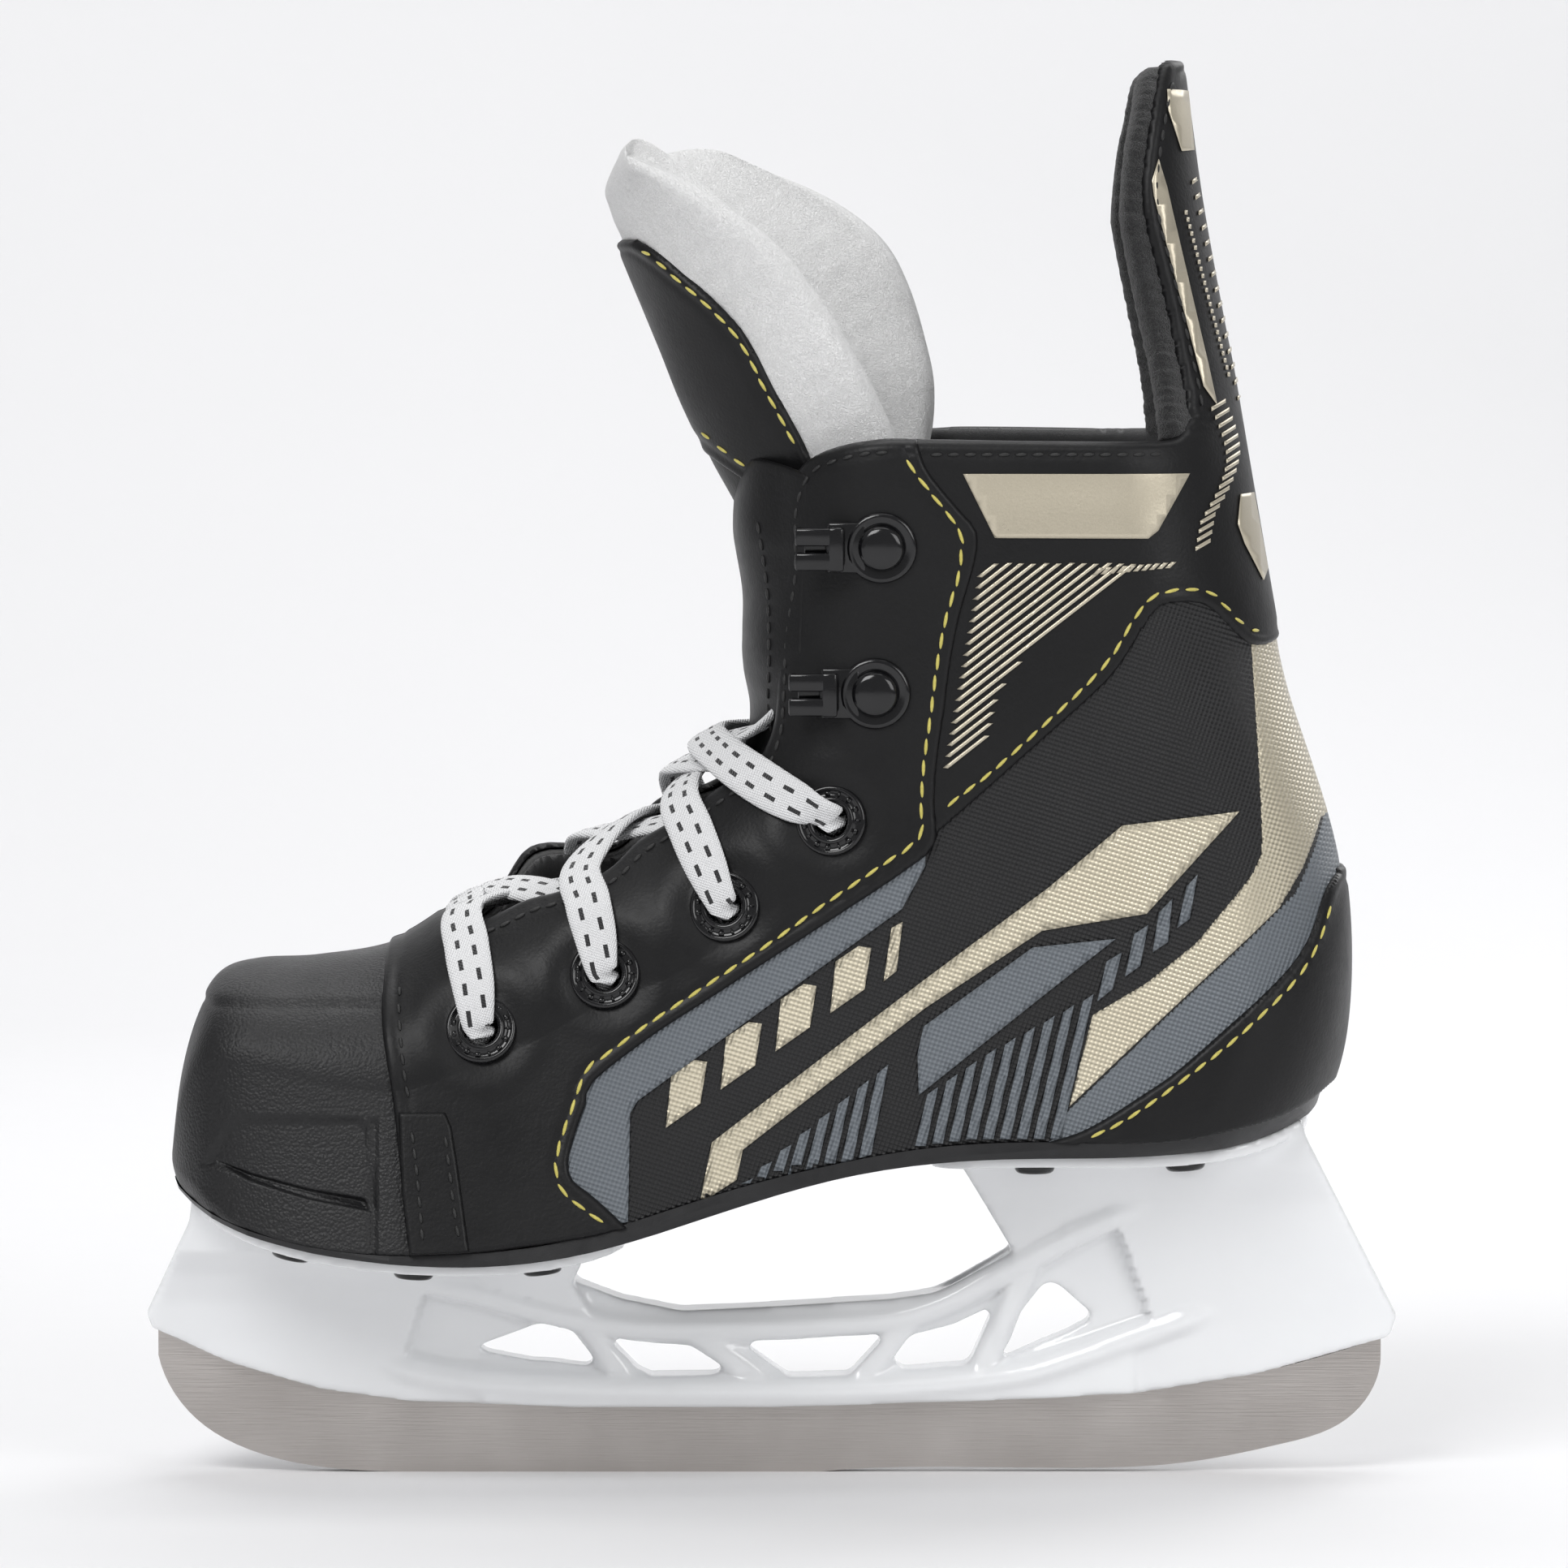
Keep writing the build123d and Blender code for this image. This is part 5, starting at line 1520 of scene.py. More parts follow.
@dataclass
class Tongue:
    """Thick felt tongue with a black face, hinged where it leaves the throat.

    Attributes:
        felt: Thickness of the felt.
    """

    felt: float = 6.0
    form: TongueForm = field(default_factory=TongueForm)

    def felt_sheet(self) -> bpy.types.Object:
        """Upper felt: a thick sheet on the tongue's lattice with rounded rims."""
        points, normals = self.form.points, self.form.normals
        rows, columns = points.shape[:2]
        steps = np.linalg.norm(np.diff(points, axis=1), axis=2)
        along = np.concatenate([np.zeros((rows, 1)), np.cumsum(steps, axis=1)], axis=1)
        sideways = np.minimum(along, along[:, -1:] - along)
        climb = np.linalg.norm(np.diff(points, axis=0), axis=2)[::-1]
        from_top = np.concatenate([np.zeros((1, columns)), np.cumsum(climb, axis=0)])[::-1]
        share = np.clip(np.minimum(sideways, from_top) / (self.felt * 0.62), 0, 1)
        closing = np.sqrt(np.clip(1 - (1 - share) ** 2, 0, 1))
        wave = 0.2 * np.sin(points[..., 2] * 0.31 + points[..., 1]
                            * 0.22) + 0.04 * np.sin(points[..., 2] * 1.1 - points[..., 0] * 0.7)
        bm = bmesh.new()
        for face, inward in ((1, False), (-1, True)):
            before = set(bm.verts)
            bmesh.ops.create_grid(bm, x_segments=columns - 1, y_segments=rows - 1, size=1.0)
            fresh = [v for v in bm.verts if v not in before]
            for vert in fresh:
                column = round((vert.co.x + 1) / 2 * (columns - 1))
                row = round((vert.co.y + 1) / 2 * (rows - 1))
                height = wave[row, column] - self.felt / 2 + face * closing[row, column] * self.felt / 2
                vert.co = points[row, column] + normals[row, column] * height
            if inward:
                bmesh.ops.reverse_faces(bm, faces=[f for f in bm.faces if f.verts[0] in set(fresh)])
        bmesh.ops.remove_doubles(bm, verts=bm.verts, dist=0.02)
        bmesh.ops.holes_fill(bm, edges=[e for e in bm.edges if e.is_boundary], sides=0)
        bmesh.ops.recalc_face_normals(bm, faces=bm.faces)
        return to_piece(bm, "tongue_felt", FELT)

    def face_panel(self) -> Panel:
        """Black face of the upper tongue."""
        return Panel(
            "tongue_face", self.form,
            [
                straight((-16.5, 175.2), (-45, 190), (-45, 206)),
                Edge([(-45, 206), (-24.4, 204.6), (-21.8, 204.4), (-18, 202), (-15, 199.5), (-10, 195.3),
                      (-5, 190),
                      (-2, 185), (0, 181), (2.5, 176.5), (6.3, 169), (8.5, 160)], rounding=0.7, roll=0.5,
                      reach=1.4, groove=1.5),
                Edge([(8.5, 160), (2, 161.7), (0, 162.7), (-5, 166.1), (-10, 169.7), (-16.5, 175.2)],
                     rounding=0.7, groove=1.3),
            ],
            LEATHER, BOTH, 1.4, 1.5,
        )

    def face_root(self) -> Panel:
        """Black face under the cross seam."""
        return Panel(
            "tongue_face_root", self.form,
            [straight((-20, 176.4), (-16.5, 175.9), (-10, 170.4), (-5, 166.8), (0, 163.4), (8.5, 160.7),
                      (8.5, 150.5), (-20, 150.5))],
            LEATHER, BOTH, 0.9, 1.4,
        )

    def strip(self) -> Panel:
        """Black strip over the lower tongue, seen through the throat."""
        low = [(-57, 82), (-50, 87), (-40, 91.5), (-27, 96.5), (-12, 107), (-1, 114.5), (5, 124), (6, 140),
               (7, 166)]
        return Panel(
            "tongue_strip", FORM,
            [Edge(low, rounding=0.6), straight((7, 166), (-14, 174), (-14, 124), (-34, 124), (-57, 108),
                                               (-57, 82))],
            LEATHER, BOTH, 0.0, 1.5, shape=self.bulge,
        )

    @staticmethod
    def sink(places: np.ndarray) -> np.ndarray:
        """The tongue lies lower over the forefoot than at the ankle."""
        return -8.0 + 9.4 * smoothstep(places[:, 2], 108, 138)

    @staticmethod
    def bulge(places: np.ndarray) -> np.ndarray:
        """The black strip swells forward under the hinge line, in front of the facings."""
        return (Tongue.sink(places)
                + 2.0 * smoothstep(places[:, 2], 142, 160) * smoothstep(places[:, 0], 3.5, -2.5))

    def lower_felt(self) -> Panel:
        """Felt of the lower tongue, tucked under both facings."""
        low = [(-58, 72), (-50, 75), (-40, 80), (-22, 89), (-5, 101), (6, 112), (13, 128), (15, 150),
               (15, 160)]
        return Panel(
            "tongue_felt_low", FORM,
            [Edge(low, rounding=2.4), straight((15, 160), (-14, 160), (-14, 124), (-34, 124), (-58, 108),
                                               (-58, 72))],
            FELT, BOTH, -1.5, 5.0, shape=self.sink,
        )

    def build(self) -> None:
        """Make the tongue's pieces and seams."""
        felt = self.felt_sheet()
        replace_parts(felt, "tongue_felt_upper")
        blend_tongue(felt)
        face = self.face_panel()
        piece = face.build()
        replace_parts(piece, "tongue_face_upper")
        blend_tongue(piece)
        root = self.face_root().build()
        blend_tongue(root)
        strip = self.strip()
        finish_piece(strip.build(), "root", "tongue_face_lower")
        low = finish_piece(self.lower_felt().build(), "root", "tongue_felt_lower")
        back = [(-23.6, 203.0), (-21.8, 203.0), (-18.7, 200.8), (-15.8, 198.2), (-10.9, 194), (-6, 188.9),
                (-3.2, 184.2), (-1.3, 180.3), (1.2, 175.8), (4.6, 169.3)]
        cross = [(3.8, 162.6), (0.2, 164.2), (-4.7, 167.5), (-9.4, 171), (-13.6, 174.6)]
        rows = [Seam(back, YELLOW, 3.3, 2.6, 0.6), Seam(cross, YELLOW, 3.3, 2.6, 0.6)]
        blend_tongue(sew_rows("tongue_stitch", rows, face, BOTH))
        edge = Seam([(0.3, 122), (-0.6, 128), (-0.4, 136), (-0.6, 146), (-1.6, 154), (-2.6, 160)],
                    BLACK_THREAD)
        finish_piece(sew_rows("tongue_edge_stitch", [edge], strip, BOTH), "root")


# ---------------------------------------------------------------- eyelets, hooks and rivets
def surface_frame(panel: Panel | TwoSided, x: float, z: float, side: Side) -> Matrix:
    """Placement on a panel: X towards the heel, Z outwards, in millimetres."""
    spot, out = panel.place(x, z, side)
    along = (Vector((1, 0, 0)) - out * out.x).normalized()
    turn = Matrix((along, out.cross(along), out)).transposed().to_4x4()
    return Matrix.Translation(spot) @ turn


def turned(profile: Path, matrix: Matrix, bm: bmesh.types.BMesh, steps: int = 40) -> None:
    """Spin a closed profile (radius, height) about a placement's Z axis.

    Args:
        profile: Corners (r, z) of the section.
        matrix: Placement of the axis.
        bm: Mesh that receives the shape.
        steps: Number of faces round the axis.
    """
    part = bmesh.new()
    corners = [part.verts.new((r, 0, z)) for r, z in profile]
    edges = [part.edges.new(pair) for pair in zip(corners, corners[1:] + corners[:1])]
    bmesh.ops.spin(part, geom=corners + edges, cent=(0, 0, 0), axis=(0, 0, 1), angle=2 * math.pi,
                   steps=steps, use_merge=True)
    bmesh.ops.remove_doubles(part, verts=part.verts, dist=0.001)
    bmesh.ops.recalc_face_normals(part, faces=part.faces)
    add_part(part, matrix, bm)


def add_part(part: bmesh.types.BMesh, matrix: Matrix, bm: bmesh.types.BMesh) -> None:
    """Place a small mesh in a larger one and free it."""
    bmesh.ops.transform(part, matrix=matrix, verts=part.verts)
    if matrix.determinant() < 0:
        bmesh.ops.reverse_faces(part, faces=part.faces)
    mesh = bpy.data.meshes.new("part")
    part.to_mesh(mesh)
    part.free()
    bm.from_mesh(mesh)
    bpy.data.meshes.remove(mesh)


def rounded_box(size: Point, centre: Point, rounding: float, matrix: Matrix, bm: bmesh.types.BMesh,
                segments: int = 3) -> None:
    """Add a box with rounded edges.

    Args:
        size: Its size.
        centre: Its centre in the placement.
        rounding: Radius of its edges.
        matrix: The placement.
        bm: Mesh that receives it.
        segments: Faces across each rounding.
    """
    part = bmesh.new()
    bmesh.ops.create_cube(part, size=1.0)
    bmesh.ops.scale(part, vec=size, verts=part.verts)
    bmesh.ops.bevel(part, geom=list(part.edges) + list(part.verts), offset=rounding, affect="EDGES",
                    segments=segments,
                    profile=0.5, material=-1)
    bmesh.ops.translate(part, vec=centre, verts=part.verts)
    add_part(part, matrix, bm)


@dataclass
class Hardware:
    """Eyelets and open hooks of both facings.

    Attributes:
        flange: Outer radius of an eyelet.
        hole: Radius of its hole.
        depth: How far its barrel reaches in.
    """

    flange: float = 5.85
    hole: float = 2.75
    depth: float = 6.6

    def eyelet(self, place: Matrix, bm: bmesh.types.BMesh) -> None:
        """Rolled eyelet with a raised ring of plain marks."""
        r, h = self.flange, self.hole
        profile = [
            (h, -self.depth), (h, -0.6), (h + 0.05, 0.35), (h + 0.35, 0.95), (h + 0.8, 1.05),
            (h + 1.05, 0.85), (h + 1.15, 0.62),
            (r - 0.95, 0.5), (r - 0.8, 0.68), (r - 0.5, 0.74), (r - 0.2, 0.52), (r, 0.05), (r - 0.1, -0.5),
            (h + 0.6, -0.6),
            (h + 0.55, -self.depth),
        ]
        turned(profile, place, bm, 48)
        count = 15
        for i in range(count):
            turn = Matrix.Rotation(2 * math.pi * i / count, 4, "Z")
            length = 0.95 if i % 3 else 0.5
            rounded_box((0.62, length, 0.5), (self.hole + 1.68, 0, 0.58), 0.14, place @ turn, bm, 1)

    def hook(self, place: Matrix, bm: bmesh.types.BMesh) -> None:
        """Open lace hook: riveted base, neck and two turned-over prongs."""
        base = [(0, -0.9), (5.8, -0.9), (5.8, 0.45), (5.5, 0.85), (5.0, 0.95), (4.4, 0.7), (0, 0.7)]
        self.disc(base, place, bm)
        rivet = [(0, 0.6), (3.4, 0.6), (3.7, 1.0), (3.65, 1.6), (3.2, 2.05), (2.5, 2.25), (0, 2.35)]
        self.disc(rivet, place, bm)
        rounded_box((6.2, 8.2, 1.1), (-5.6, 0, 0.25), 0.4, place, bm)
        rounded_box((1.5, 6.8, 3.4), (-8.1, 0, 1.7), 0.5, place, bm)
        rounded_box((2.6, 7.2, 1.3), (-7.3, 0, 3.15), 0.5, place, bm)
        for side in (-1, 1):
            rounded_box((6.6, 2.9, 1.3), (-10.6, side * 2.0, 3.1), 0.45, place, bm)
            rounded_box((1.2, 2.85, 2.6), (-13.2, side * 2.0, 2.2), 0.4, place, bm)
        rounded_box((4.2, 5.2, 0.8), (-10.4, 0, 0.35), 0.3, place, bm)

    def disc(self, profile: Path, place: Matrix, bm: bmesh.types.BMesh) -> None:
        """Solid disc from a profile that starts and ends on the axis."""
        part = bmesh.new()
        corners = [part.verts.new((r, 0, z)) for r, z in profile]
        edges = [part.edges.new(pair) for pair in zip(corners, corners[1:])]
        bmesh.ops.spin(part, geom=corners + edges, cent=(0, 0, 0), axis=(0, 0, 1), angle=2 * math.pi,
                       steps=40, use_merge=True)
        bmesh.ops.remove_doubles(part, verts=part.verts, dist=0.001)
        bmesh.ops.recalc_face_normals(part, faces=part.faces)
        add_part(part, place, bm)

    def build(self, upper: Upper) -> None:
        """Make the eyelets and hooks of both sides."""
        for side in BOTH:
            facing = upper.panels[f"facing_{side.value}"]
            rings, hooks = bmesh.new(), bmesh.new()
            for x, z in EYELETS:
                self.eyelet(eyelet_frame(facing, x, z, side), rings)
            for x, z in HOOKS:
                self.hook(surface_frame(facing, x, z, side), hooks)
            finish_piece(to_piece(rings, f"eyelet_rings_{side.value}", ENAMEL), "root",
                         f"eyelets_{side.value}")
            piece = to_piece(hooks, f"open_hooks_{side.value}", ENAMEL)
            finish_piece(piece, "root", f"lace_hooks_{side.value}", f"hook_rivets_{side.value}")


def eyelet_frame(panel: Panel, x: float, z: float, side: Side) -> Matrix:
    """Placement at an eyelet, from the leather round its hole."""
    ring = 6.4
    found = [panel.place(x + dx * ring, z + dz * ring, side) for dx,
             dz in ((1, 0), (-1, 0), (0, 1), (0, -1))]
    spot = sum((f[0] for f in found), Vector()) / 4
    out = sum((f[1] for f in found), Vector()).normalized()
    along = (Vector((1, 0, 0)) - out * out.x).normalized()
    turn = Matrix((along, out.cross(along), out)).transposed().to_4x4()
    return Matrix.Translation(spot - out * 0.15) @ turn


# ---------------------------------------------------------------- laces
def strand(name: str, line: np.ndarray, outs: np.ndarray, widths: np.ndarray,
           thickness: float) -> bpy.types.Object:
    """Flat woven strand along a line, as a closed tube with its own map.

    Args:
        name: Name of the piece.
        line: Points of its centreline in millimetres.
        outs: Direction that its broad face looks in, at each point.
        widths: Width at each point.
        thickness: Thickness across the broad face.

    Returns:
        The strand.
    """
    ring = 14
    along = np.gradient(line, axis=0)
    along /= np.linalg.norm(along, axis=1, keepdims=True)
    outs = outs - along * np.sum(outs * along, axis=1, keepdims=True)
    outs /= np.maximum(np.linalg.norm(outs, axis=1, keepdims=True), 1e-6)
    across = np.cross(along, outs)
    travelled = np.concatenate([[0], np.cumsum(np.linalg.norm(np.diff(line, axis=0), axis=1))])
    bm = bmesh.new()
    count = len(line) - 1
    bmesh.ops.create_grid(bm, x_segments=ring, y_segments=count, size=1.0)
    layer = bm.loops.layers.uv.new("strand")
    place = {}
    for vert in bm.verts:
        column, row = round((vert.co.x + 1) / 2 * ring), round((vert.co.y + 1) / 2 * count)
        turn = 2 * math.pi * column / ring
        side = math.copysign(abs(math.cos(turn)) ** 0.7, math.cos(turn)) * widths[row] / 2
        full = thickness / 2 * (7.2 / max(widths[row], 3.5)) ** 0.6
        rise = math.copysign(abs(math.sin(turn)) ** 0.75, math.sin(turn)) * full
        vert.co = line[row] + across[row] * side + outs[row] * rise
        place[vert] = (travelled[row] * MM, side * MM)
    for face in bm.faces:
        for loop in face.loops:
            loop[layer].uv = place[loop.vert]
    bmesh.ops.remove_doubles(bm, verts=bm.verts, dist=0.001)
    bmesh.ops.holes_fill(bm, edges=[e for e in bm.edges if e.is_boundary], sides=0)
    bmesh.ops.recalc_face_normals(bm, faces=bm.faces)
    return to_piece(bm, name, LACE)


@dataclass
class Laces:
    """Flat lace through the four lower eyelet pairs, its ends tucked down inside the boot.

    Attributes:
        width: Width of the lace.
        thickness: Its thickness.
        crossings: For each crossing the edge, middle, dive and under points, y towards the start.
        tails: Routes of the two free ends in millimetres.
        tail_lengths: Their real lengths in metres; not used.
    """

    width: float = 7.5
    thickness: float = 1.5
    crossings: list[Path] = field(default_factory=lambda: [
        [(-50.6, 14.2, 94.8), (-43.5, 0.0, 95.8), (-35.5, -11.0, 96.4), (-31.0, -14.2, 91.5)],
        [(-31.2, 14.8, 101.8), (-23.0, 0.0, 107.0), (-15.0, -11.0, 108.4), (-11.0, -14.2, 103.0)],
        [(-15.2, 15.0, 113.2), (-12.6, 0.0, 116.6), (-5.0, -11.5, 118.8), (2.8, -14.2, 117.0)],
        [(-7.4, 15.0, 119.0), (-9.8, 0.0, 121.2), (-3.5, -11.8, 123.6), (4.5, -13.4, 128.5)],
    ])
    tails: dict[str, Path] = field(default_factory=lambda: {
        "lateral": [
            (4.5, -13.4, 128.5), (12.4, -20.2, 124.8), (19.0, -20.0, 115.9), (23.9, -18.7, 104.7),
            (23.9, -17.3, 91.4),
            (18.7, -17.4, 77.9), (9.0, -19.0, 65.0), (-8.0, -22.0, 58.6), (-26.0, -24.5, 52.4),
            (-46.0, -25.0, 48.2),
            (-64.0, -22.0, 48.0), (-74.5, -12.5, 48.9), (-76.0, -0.5, 49.2), (-68.5, 9.5, 48.4),
            (-54.0, 12.5, 47.9),
            (-36.0, 12.0, 49.6), (-18.0, 12.5, 54.8),
        ],
        "medial": [
            (4.5, 13.4, 128.5), (12.4, 20.2, 124.8), (19.0, 20.0, 115.9), (23.9, 18.7, 104.7),
            (23.9, 17.3, 91.4),
            (18.7, 17.4, 77.9), (9.0, 19.0, 65.0), (-8.0, 22.0, 58.6), (-26.0, 24.5, 52.4),
            (-44.0, 25.0, 49.4),
            (-60.0, 21.5, 51.4), (-68.5, 12.5, 52.8), (-70.0, 1.5, 53.0), (-64.0, -7.5, 52.2),
            (-52.0, -12.0, 50.4),
            (-35.0, -13.0, 51.0), (-17.0, -12.0, 56.0),
        ],
    })
    tail_lengths: dict[str, float] = field(default_factory=lambda: {"lateral": 0.2418, "medial": 0.2307})

    def half(self, start: Side, upper: Upper) -> tuple[np.ndarray, np.ndarray, np.ndarray]:
        """Route of one half of the lace.

        Args:
            start: Side of its first eyelet.
            upper: The sewn boot, for the facings.

        Returns:
            Points, outward directions and widths along the route.
        """
        raised = 1.9 if start is Side.MEDIAL else 0.0
        sign = start.sign
        stops = [((-51.0, 0.0, 95.5), (-0.5, 0, 0.86), 7.2),
                 ((-50.5, sign * 9.0, 94.0), (-0.5, 0, 0.86), 7.2),
                 ((-48.8, sign * 13.0, 86.0), (-0.6, -sign * 0.3, 0.6), 6.0)]
        side = start
        for index, ((x, z), (edge, middle, dive, under)) in enumerate(zip(EYELETS, self.crossings)):
            facing = upper.panels[f"facing_{side.value}"]
            place = eyelet_frame(facing, x, z, side)
            out = place.to_3x3().col[2]
            centre = place.to_translation()
            spot, normal = facing.place(x * 0.34 + edge[0] * 0.66, z * 0.34 + edge[2] * 0.66, side, 1.1)
            low_spot, low_out = facing.place(x * 0.66 + edge[0] * 0.34, z * 0.66 + edge[2] * 0.34, side,
                                             1.6)
            push = 0.75 * Upper.far_swell(np.array([[edge[0], edge[1] * side.sign, edge[2]]]))[0]
            edge = (edge[0], edge[1] + 0.5 * push, edge[2] + 0.8 * push)
            stops += [
                (centre - out * 5.5, out.cross((0, 0, 1)), 4.4),
                (centre - out * 1.5, out.cross((0, 0, 1)).cross(out), 4.6),
                (centre + out * 1.3 + Vector((-0.5, 0, 0.9)), Vector((0.2, side.sign * 0.6, -0.7)), 5.4),
                (low_spot, low_out, 7.0), (spot, normal, 7.6),
            ]
            over = Vector((-0.5, 0, 0.86))
            for point, lift, look, width in (
                (edge, 0.7, normal * 0.6 + over * 0.4, 7.2), (middle, 1.0, over, 7.2),
                (dive, 0.0, over, 7.0),
                (under, 0.0, Vector((-0.3, side.sign * 0.8, 0.5)), 5.6),
            ):
                centre_point = Vector((point[0], point[1] * side.sign, point[2]))
                stops.append((centre_point + over * raised * (lift if index > 1 or lift == 1.0 else 0.0),
                              look, width))
            side = Side.MEDIAL if side is Side.LATERAL else Side.LATERAL
        rows = [(*p, *Vector(o).normalized(), w) for p, o, w in stops]
        drawn = even_path(smooth_path(rows, 0.6), 0.8)
        return drawn[:, :3], drawn[:, 3:6], drawn[:, 6]

    def tail(self, side: str) -> bpy.types.Object:
        """Free end of the lace, a flat strand along its route's own spline."""
        curve = bpy.data.curves.new("route", "CURVE")
        curve.dimensions = "3D"
        spline = curve.splines.new("NURBS")
        route = self.tails[side]
        spline.points.add(len(route) - 1)
        for point, place in zip(spline.points, route):
            point.co = (*[c * MM for c in place], 1.0)
        spline.order_u = 3
        spline.use_endpoint_u = True
        spline.resolution_u = 12
        guide = bpy.data.objects.new("route", curve)
        bpy.context.scene.collection.objects.link(guide)
        bpy.context.view_layer.update()
        mesh = bpy.data.meshes.new_from_object(guide)
        line = np.array([v.co[:] for v in mesh.vertices]) / MM
        bpy.data.objects.remove(guide)
        bpy.data.meshes.remove(mesh)
        line = even_path(line, 1.6)
        sign = -1 if side == "lateral" else 1
        inward = np.tile(np.array([0.15, sign * 1.0, 0.1]), (len(line), 1))
        floor = smoothstep(line[:, 2], 74, 56)[:, None]
        outs = inward * (1 - floor) + np.array([0.0, 0.0, 1.0]) * floor
        piece = strand(f"lace_end_{side}", line, outs, np.full(len(line), self.width - 0.4), self.thickness)
        tip = frame["nodes"][f"lace_tip_{side}"]
        PAINT.dress(tip, TIP)
        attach(piece, "root")
        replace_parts(piece, f"lace_tail_{side}")
        tuple(c * MM for c in route[0])
        return piece

    def build(self, upper: Upper) -> None:
        """Make both laced halves and both tails."""
        for side in BOTH:
            piece = strand(f"lace_half_{side.value}", *self.half(side, upper), self.thickness)
            finish_piece(piece, "root", "lace", f"eyelet_washers_{side.value}")
            self.tail(side.value)


# ---------------------------------------------------------------- holder, blade and sole
@dataclass
class Blade:
    """White truss holder with flowing chords, the steel runner and its fixings.

    Attributes:
        voxel: Size at which the moulding's edges are rounded.
        upper_chord: Ridge line (x, z) from tower to tower.
        lower_chord: Ridge line above the runner.
        chord_radius: Radius of the ridges.
        struts: Lines of the slanted struts between the chords.
        windows: Outlines of the openings.
        window_reach: Half depth of the cut that widens the openings.
        web_depth: Share by which the web is thinner than the chords.
    """

    voxel: float = 0.68
    upper_chord: Path = field(default_factory=lambda: [
        (-63, 33.8), (-55, 32.2), (-47, 30.2), (-40, 28.0), (-30, 25.6), (-20, 24.6), (-5, 24.6),
        (10, 25.2), (20, 26.0), (28, 28.4), (35, 32.0), (42, 36.0), (50, 40.4), (58, 44.0), (66, 46.6),
    ])
    lower_chord: Path = field(default_factory=lambda: [
        (-70, 20.4), (-60, 17.2), (-50, 15.4), (-30, 14.2), (0, 13.9), (20, 14.3), (40, 16.2), (50, 19.0),
        (60, 22.6), (70, 26.2), (78, 29.0),
    ])
    chord_radius: float = 2.3
    struts: list[Path] = field(default_factory=lambda: [
        [(-36.0, 31.0), (-29.8, 23.3), (-24.0, 15.0)], [(-14.0, 24.5), (-9.6, 21.3), (-1.5, 15.2)],
        [(22.5, 25.5), (20.2, 22.6), (14.0, 15.0)], [(42.4, 34.7), (38.5, 26.0), (34.0, 15.6)],
    ])
    windows: list[Path] = field(default_factory=lambda: [
        [(-48.8, 21.3), (-36.5, 25.1), (-34.4, 24.4), (-28.8, 17.6), (-38.6, 18.9)],
        [(-25.4, 22.2), (-13.4, 21.2), (-8.0, 17.8), (-8.2, 16.5), (-20.6, 16.3)],
        [(-5.6, 22.0), (18.4, 22.8), (13.8, 17.5), (2.6, 17.1)],
        [(22.8, 22.9), (34.8, 26.0), (35.6, 24.9), (32.7, 18.9), (19.2, 17.9)],
        [(41.3, 26.9), (44.8, 31.4), (46.2, 31.6), (53.0, 26.6), (52.6, 25.3), (38.4, 18.9)],
    ])

    window_reach: float = 14.0
    web_depth: float = 0.32

    def opened(self, bm: bmesh.types.BMesh) -> bmesh.types.BMesh:
        """Widen the truss openings of the moulding."""
        cutter = bmesh.new()
        for window in self.windows:
            face = cutter.faces.new([cutter.verts.new((x, -self.window_reach, z)) for x, z in window])
            result = bmesh.ops.extrude_face_region(cutter, geom=[face], use_keep_orig=True)
            raised = [g for g in result["geom"] if isinstance(g, bmesh.types.BMVert)]
            bmesh.ops.translate(cutter, vec=(0, 2 * self.window_reach, 0), verts=raised)
        bmesh.ops.recalc_face_normals(cutter, faces=cutter.faces)
        tool = to_piece(cutter, "window_tool", HOLDER, smooth=False)
        body = to_piece(bm, "window_body", HOLDER, smooth=False)
        cut = body.modifiers.new("cut", "BOOLEAN")
        cut.operation = "DIFFERENCE"
        cut.object = tool
        bpy.context.view_layer.update()
        mesh = bpy.data.meshes.new_from_object(body.evaluated_get(bpy.context.evaluated_depsgraph_get()))
        bm = bmesh.new()
        bm.from_mesh(mesh)
        bmesh.ops.scale(bm, vec=(1 / MM,) * 3, verts=bm.verts)
        bpy.data.meshes.remove(mesh)
        bpy.data.objects.remove(tool)
        bpy.data.objects.remove(body)
        return bm

    def rounded_holder(self) -> bpy.types.Object:
        """Moulded holder: the frame's shape and its ridges as one rounded body."""
        source = frame["nodes"]["blade_holder"]
        bm = bmesh.new()
        bm.from_mesh(source.data)
        bmesh.ops.scale(bm, vec=(1 / MM,) * 3, verts=bm.verts)
        bmesh.ops.remove_doubles(bm, verts=bm.verts, dist=0.01)
        tree = BVHTree.FromBMesh(bm)
        bm = self.opened(bm)
        for line in (self.upper_chord, self.lower_chord):
            for side in (-1, 1):
                self.ridge(bm, tree, line, side, self.chord_radius)
        for line in self.struts:
            for side in (-1, 1):
                self.ridge(bm, tree, line, side, 0.7 * self.chord_radius)
        rough = to_piece(bm, "rough_holder", HOLDER)
        remesh = rough.modifiers.new("round", "REMESH")
        remesh.mode = "VOXEL"
        remesh.voxel_size = self.voxel * MM
        relax = rough.modifiers.new("relax", "SMOOTH")
        relax.factor = 0.5
        relax.iterations = 5
        bpy.context.view_layer.update()
        mesh = bpy.data.meshes.new_from_object(rough.evaluated_get(bpy.context.evaluated_depsgraph_get()))
        bpy.data.objects.remove(rough)
        self.thin_web(mesh)
        shade_smooth(mesh)
        piece = bpy.data.objects.new("truss_holder", mesh)
        bpy.context.scene.collection.objects.link(piece)
        PAINT.dress(piece, HOLDER)
        return piece

